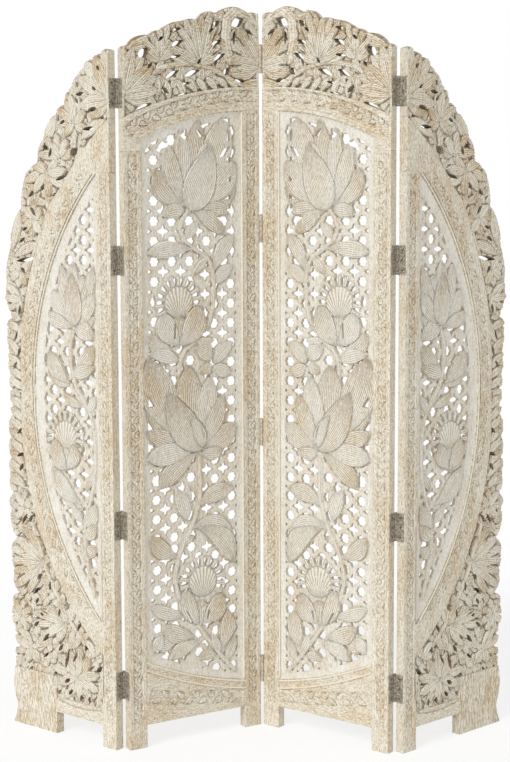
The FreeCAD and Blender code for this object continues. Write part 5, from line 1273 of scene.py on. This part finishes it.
OUTER_BUDS = [(128, 1048, 136, 1180, 62, 0)]

edge = outline([
    (OUTER_STILE - 3, OPENING_LOW + 1), (OUTER_STILE + 3, OPENING_LOW + 1, OPENING_LOWER),
    (OPENING_REACH + 3, SPLIT, OPENING_UPPER), (OUTER_STILE + 3, OUTER_STILE_TOP - 1),
    (OUTER_STILE - 3, OUTER_STILE_TOP - 1),
])
lens = outline([
    (OUTER_STILE - 27, OPENING_LOW, OPENING_LOWER), (OPENING_REACH - 27, SPLIT, OPENING_UPPER),
    (OUTER_STILE - 27, OUTER_STILE_TOP),
])
zone = [(max(s, OUTER_STILE + 16.0), z) for s, z in lens if s >= OUTER_STILE + 10.0]
field = pierced_face(
    edge, zone, OUTER_FIELD_STEP, OUTER_LATTICE, OUTER_LEAVES, [OUTER_STEM], OUTER_DAISIES,
    OUTER_CALYXES, OUTER_BUDS,
)
stand(OUTER_PANELS, "jali_field", field, "carved_field", field_finish, **IN_FRAME)


# Hinges: pressed-steel leaves let onto the panel edges, dark lacquered and rubbed on the outer
# lines, painted over with the wash on the centre line, turning on plated pins.
def metal(name, colour, worn, roughness, metallic):
    """Sheet metal with a worn, slightly uneven coat."""
    finish = Nodes(bpy.data.materials.new(name))
    place = finish.object_place()
    spots = finish.noise(place, 260.0, 4.0, 0.65)
    scuffs = finish.noise(place, (900.0, 900.0, 90.0), 2.0, 0.5)
    wear = (spots.above(0.47, 0.56) * 0.8 + scuffs.above(0.6, 0.8) * 0.4).clamp()
    return finish.surface(0.3, 0.0002, spots, {
        "Base Color": finish.mix(wear, colour, worn), "Roughness": roughness + 0.15 * spots,
        "Metallic": metallic,
    })


LACQUER, LACQUER_RUBBED = linear(126, 116, 100), linear(196, 188, 172)
WASHED, WASHED_WORN = linear(214, 204, 188), linear(150, 132, 108)
ZINC, ZINC_DULLED = linear(150, 146, 138), linear(96, 90, 80)

hinge_finishes = {
    "dark_hinge": metal("dark_lacquered_steel", LACQUER, LACQUER_RUBBED, 0.55, metallic=0.15),
    "painted_hinge": metal("washed_over_steel", WASHED, WASHED_WORN, 0.55, metallic=0.0),
    "screw_steel": metal("zinc_plated_steel", ZINC, ZINC_DULLED, 0.35, metallic=0.9),
}
for name, node in frame["nodes"].items():
    if "hinge" not in name or name.endswith("screws"):
        continue
    if name.endswith("pins"):
        slot = "screw_steel"
    else:
        slot = "painted_hinge" if "_centre_" in name else "dark_hinge"
    node.data.materials.clear()
    node.data.materials.append(hinge_finishes[slot])


# Countersunk wood screws of the hinges, three to a leaf, driven into the panel edges with their
# cross-slotted heads flush with the leaf. Each was left at its own turn.
SIDE_HINGES = (161.0, 563.0, 1210.0, 1608.0)
CENTRE_HINGES = (150.0, 768.0, 1285.0, 1706.0)
SIDE_HEADS = (-1.6, 12.4)
CENTRE_HEADS = (PANEL_WIDTH + 1.6, 11.6)
SCREW_SPACING = 24.0
HEAD_RADIUS = 2.9
SHANK_RADIUS = 1.5
SCREW_LENGTH = 16.0
POINT_LENGTH = 3.0
SLOT_REACH = 1.6
SLOT_HALF = 0.35
SLOT_DEPTH = 1.0
SLOT_FLOOR = 0.6
QUARTER_TURN = 1.57
TURN_SEED = 7


def screw_pattern():
    """One screw along z, its head's face at zero and its point below."""
    quarter = np.array([[0.0, -1.0], [1.0, 0.0]])
    corners = np.array([(SLOT_REACH, -SLOT_HALF), (SLOT_REACH, SLOT_HALF), (SLOT_HALF, SLOT_HALF)])
    slot = np.vstack([corners @ np.linalg.matrix_power(quarter, k).T for k in range(4)])
    around = slot / np.hypot(slot[:, 0], slot[:, 1])[:, None]
    rings = [
        (slot * SLOT_FLOOR, -SLOT_DEPTH), (slot, 0.0), (around * HEAD_RADIUS, 0.0),
        (around * SHANK_RADIUS, SHANK_RADIUS - HEAD_RADIUS),
        (around * SHANK_RADIUS, POINT_LENGTH - SCREW_LENGTH),
    ]
    places = [(0.0, 0.0, -SLOT_DEPTH)]
    for corners, up in rings:
        places += [(x, y, up) for x, y in corners]
    places.append((0.0, 0.0, -SCREW_LENGTH))
    size = len(slot)
    last = 1 + (len(rings) - 1) * size
    faces = []
    for k in range(size):
        after = (k + 1) % size
        faces.append((0, 1 + k, 1 + after))
        for low in range(1, last, size):
            faces.append((low + k, low + size + k, low + size + after, low + after))
        faces.append((len(places) - 1, last + after, last + k))
    return mesh_object("screw_pattern", np.array(places) / METRE, faces=faces)


def screw_setting(nodes, heads, seed):
    """The screw pattern on each head's place, faced outwards and left at a random turn."""
    driven = nodes.node("GeometryNodeObjectInfo", {}, {"Object": pattern}, "Geometry")
    kind = {"data_type": "FLOAT_VECTOR"}
    outward = nodes.node("GeometryNodeInputNamedAttribute", kind, {"Name": "outward"})
    faced = nodes.node("FunctionNodeAlignRotationToVector", {"axis": "Z"}, {"Vector": outward})
    ends = {3: QUARTER_TURN, "Seed": seed}
    angle = nodes.node("FunctionNodeRandomValue", {"data_type": "FLOAT"}, ends, 1)
    turned = nodes.node("FunctionNodeAxisAngleToRotation", {}, {"Angle": angle})
    ways = {"Rotation": faced, "Rotate By": turned}
    left = nodes.node("FunctionNodeRotateRotation", {"rotation_space": "LOCAL"}, ways)
    ways = {"Points": heads, "Instance": driven, "Rotation": left}
    return nodes.node("GeometryNodeInstanceOnPoints", {}, ways)


def drive_screws(panel, rows):
    """All screws of one panel: rows hold a place across and back, the way in and the hinges."""
    heads, below = [], []
    for (across, back), way, hinges in rows:
        for hinge in hinges:
            for up in (hinge - SCREW_SPACING, hinge, hinge + SCREW_SPACING):
                heads.append((across, back, up))
                below.append((across + way, back, up))
    screws = mesh_object(f"{panel}_screws_driven", set_up(panel, heads))
    store(screws.data, "outward", (set_up(panel, heads) - set_up(panel, below)) * METRE)
    steel = hinge_finishes["screw_steel"]
    grow(screws, "Turn seed", "NodeSocketInt", TURN_SEED, screw_setting, steel)
    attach(screws, panel)
    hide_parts(f"{panel}_hinge_screws")


pattern = screw_pattern()
for panel in PANEL_SEATS:
    rows = [(SIDE_HEADS, 1.0, SIDE_HINGES)]
    if panel in INNER_PANELS:
        rows.append((CENTRE_HEADS, -1.0, CENTRE_HINGES))
    drive_screws(panel, rows)
bpy.data.objects.remove(pattern)


# Studio: a pale floor that runs out into white, soft sky light and one broad sun from the
# front left.
WHITE = (1.0, 1.0, 1.0, 1.0)
FLOOR_REACH = 9.0
SUN_STRENGTH = 1.5
SUN_SPREAD = 0.5
SUN_TILT = math.radians(52)
SUN_HEADING = math.radians(-38)
SKY_STRENGTH = 0.66

floor = mesh_object(
    "floor", [(s, b, 0.0) for s, b in rectangle(-FLOOR_REACH, -FLOOR_REACH, FLOOR_REACH, FLOOR_REACH)],
    faces=[(0, 1, 2, 3)],
)
white_floor = Nodes(bpy.data.materials.new("floor_white"))
place = white_floor.object_place()
reach = white_floor.node("ShaderNodeVectorMath", {"operation": "LENGTH"}, {0: place}, "Value")
lit = white_floor.node("ShaderNodeBsdfDiffuse", {}, {"Color": WHITE})
white = white_floor.node("ShaderNodeEmission", {}, {"Color": WHITE, "Strength": 1.0})
camera = white_floor.node("ShaderNodeLightPath", {}, {}, "Is Camera Ray")
share = (0.7 + 0.3 * reach.above(1.2, 2.6)) * camera
shown = white_floor.node("ShaderNodeMixShader", {}, {0: share, 1: lit, 2: white})
white_floor.node("ShaderNodeOutputMaterial", {}, {"Surface": shown})
floor.data.materials.append(white_floor.owner)

sun = bpy.data.objects.new("window", bpy.data.lights.new("window", "SUN"))
sun.data.energy = SUN_STRENGTH
sun.data.angle = SUN_SPREAD
sun.rotation_euler = Euler((SUN_TILT, 0.0, SUN_HEADING))
bpy.context.scene.collection.objects.link(sun)

studio = Nodes(bpy.data.worlds.new("studio"))
bpy.context.scene.world = studio.owner
rays = [
    studio.node("ShaderNodeLightPath", {}, {}, f"Is {kind} Ray")
    for kind in ("Camera", "Glossy", "Transmission")
]
seen = rays[0].math("MAXIMUM", rays[1]).math("MAXIMUM", rays[2])
sky = studio.node("ShaderNodeBackground", {}, {"Color": WHITE, "Strength": SKY_STRENGTH})
backdrop = studio.node("ShaderNodeBackground", {}, {"Color": WHITE, "Strength": 1.0})
shown = studio.node("ShaderNodeMixShader", {}, {0: seen, 1: sky, 2: backdrop})
studio.node("ShaderNodeOutputWorld", {}, {"Surface": shown})

# Camera: almost straight on, above half height and tipped down, from almost four metres.
CAMERA_PLACE = (0.0520, -3.8078, 1.3016)
CAMERA_TURN = 0.0135
CAMERA_TIP = -0.1029
CAMERA_ROLL = 0.0036
FOCAL_LENGTH = 72.67
SENSOR_HEIGHT = 36.0

lens = bpy.data.cameras.new("camera")
lens.lens = FOCAL_LENGTH
lens.sensor_fit = "VERTICAL"
lens.sensor_height = SENSOR_HEIGHT
camera = bpy.data.objects.new("camera", lens)
camera.matrix_world = (
    Matrix.Translation(CAMERA_PLACE) @ Matrix.Rotation(CAMERA_TURN, 4, "Z")
    @ Matrix.Rotation(CAMERA_TIP, 4, "X") @ Matrix.Rotation(CAMERA_ROLL, 4, "Y")
    @ Matrix.Rotation(math.radians(90), 4, "X")
)
bpy.context.scene.collection.objects.link(camera)
bpy.context.scene.camera = camera
bpy.context.scene.view_settings.view_transform = "Standard"
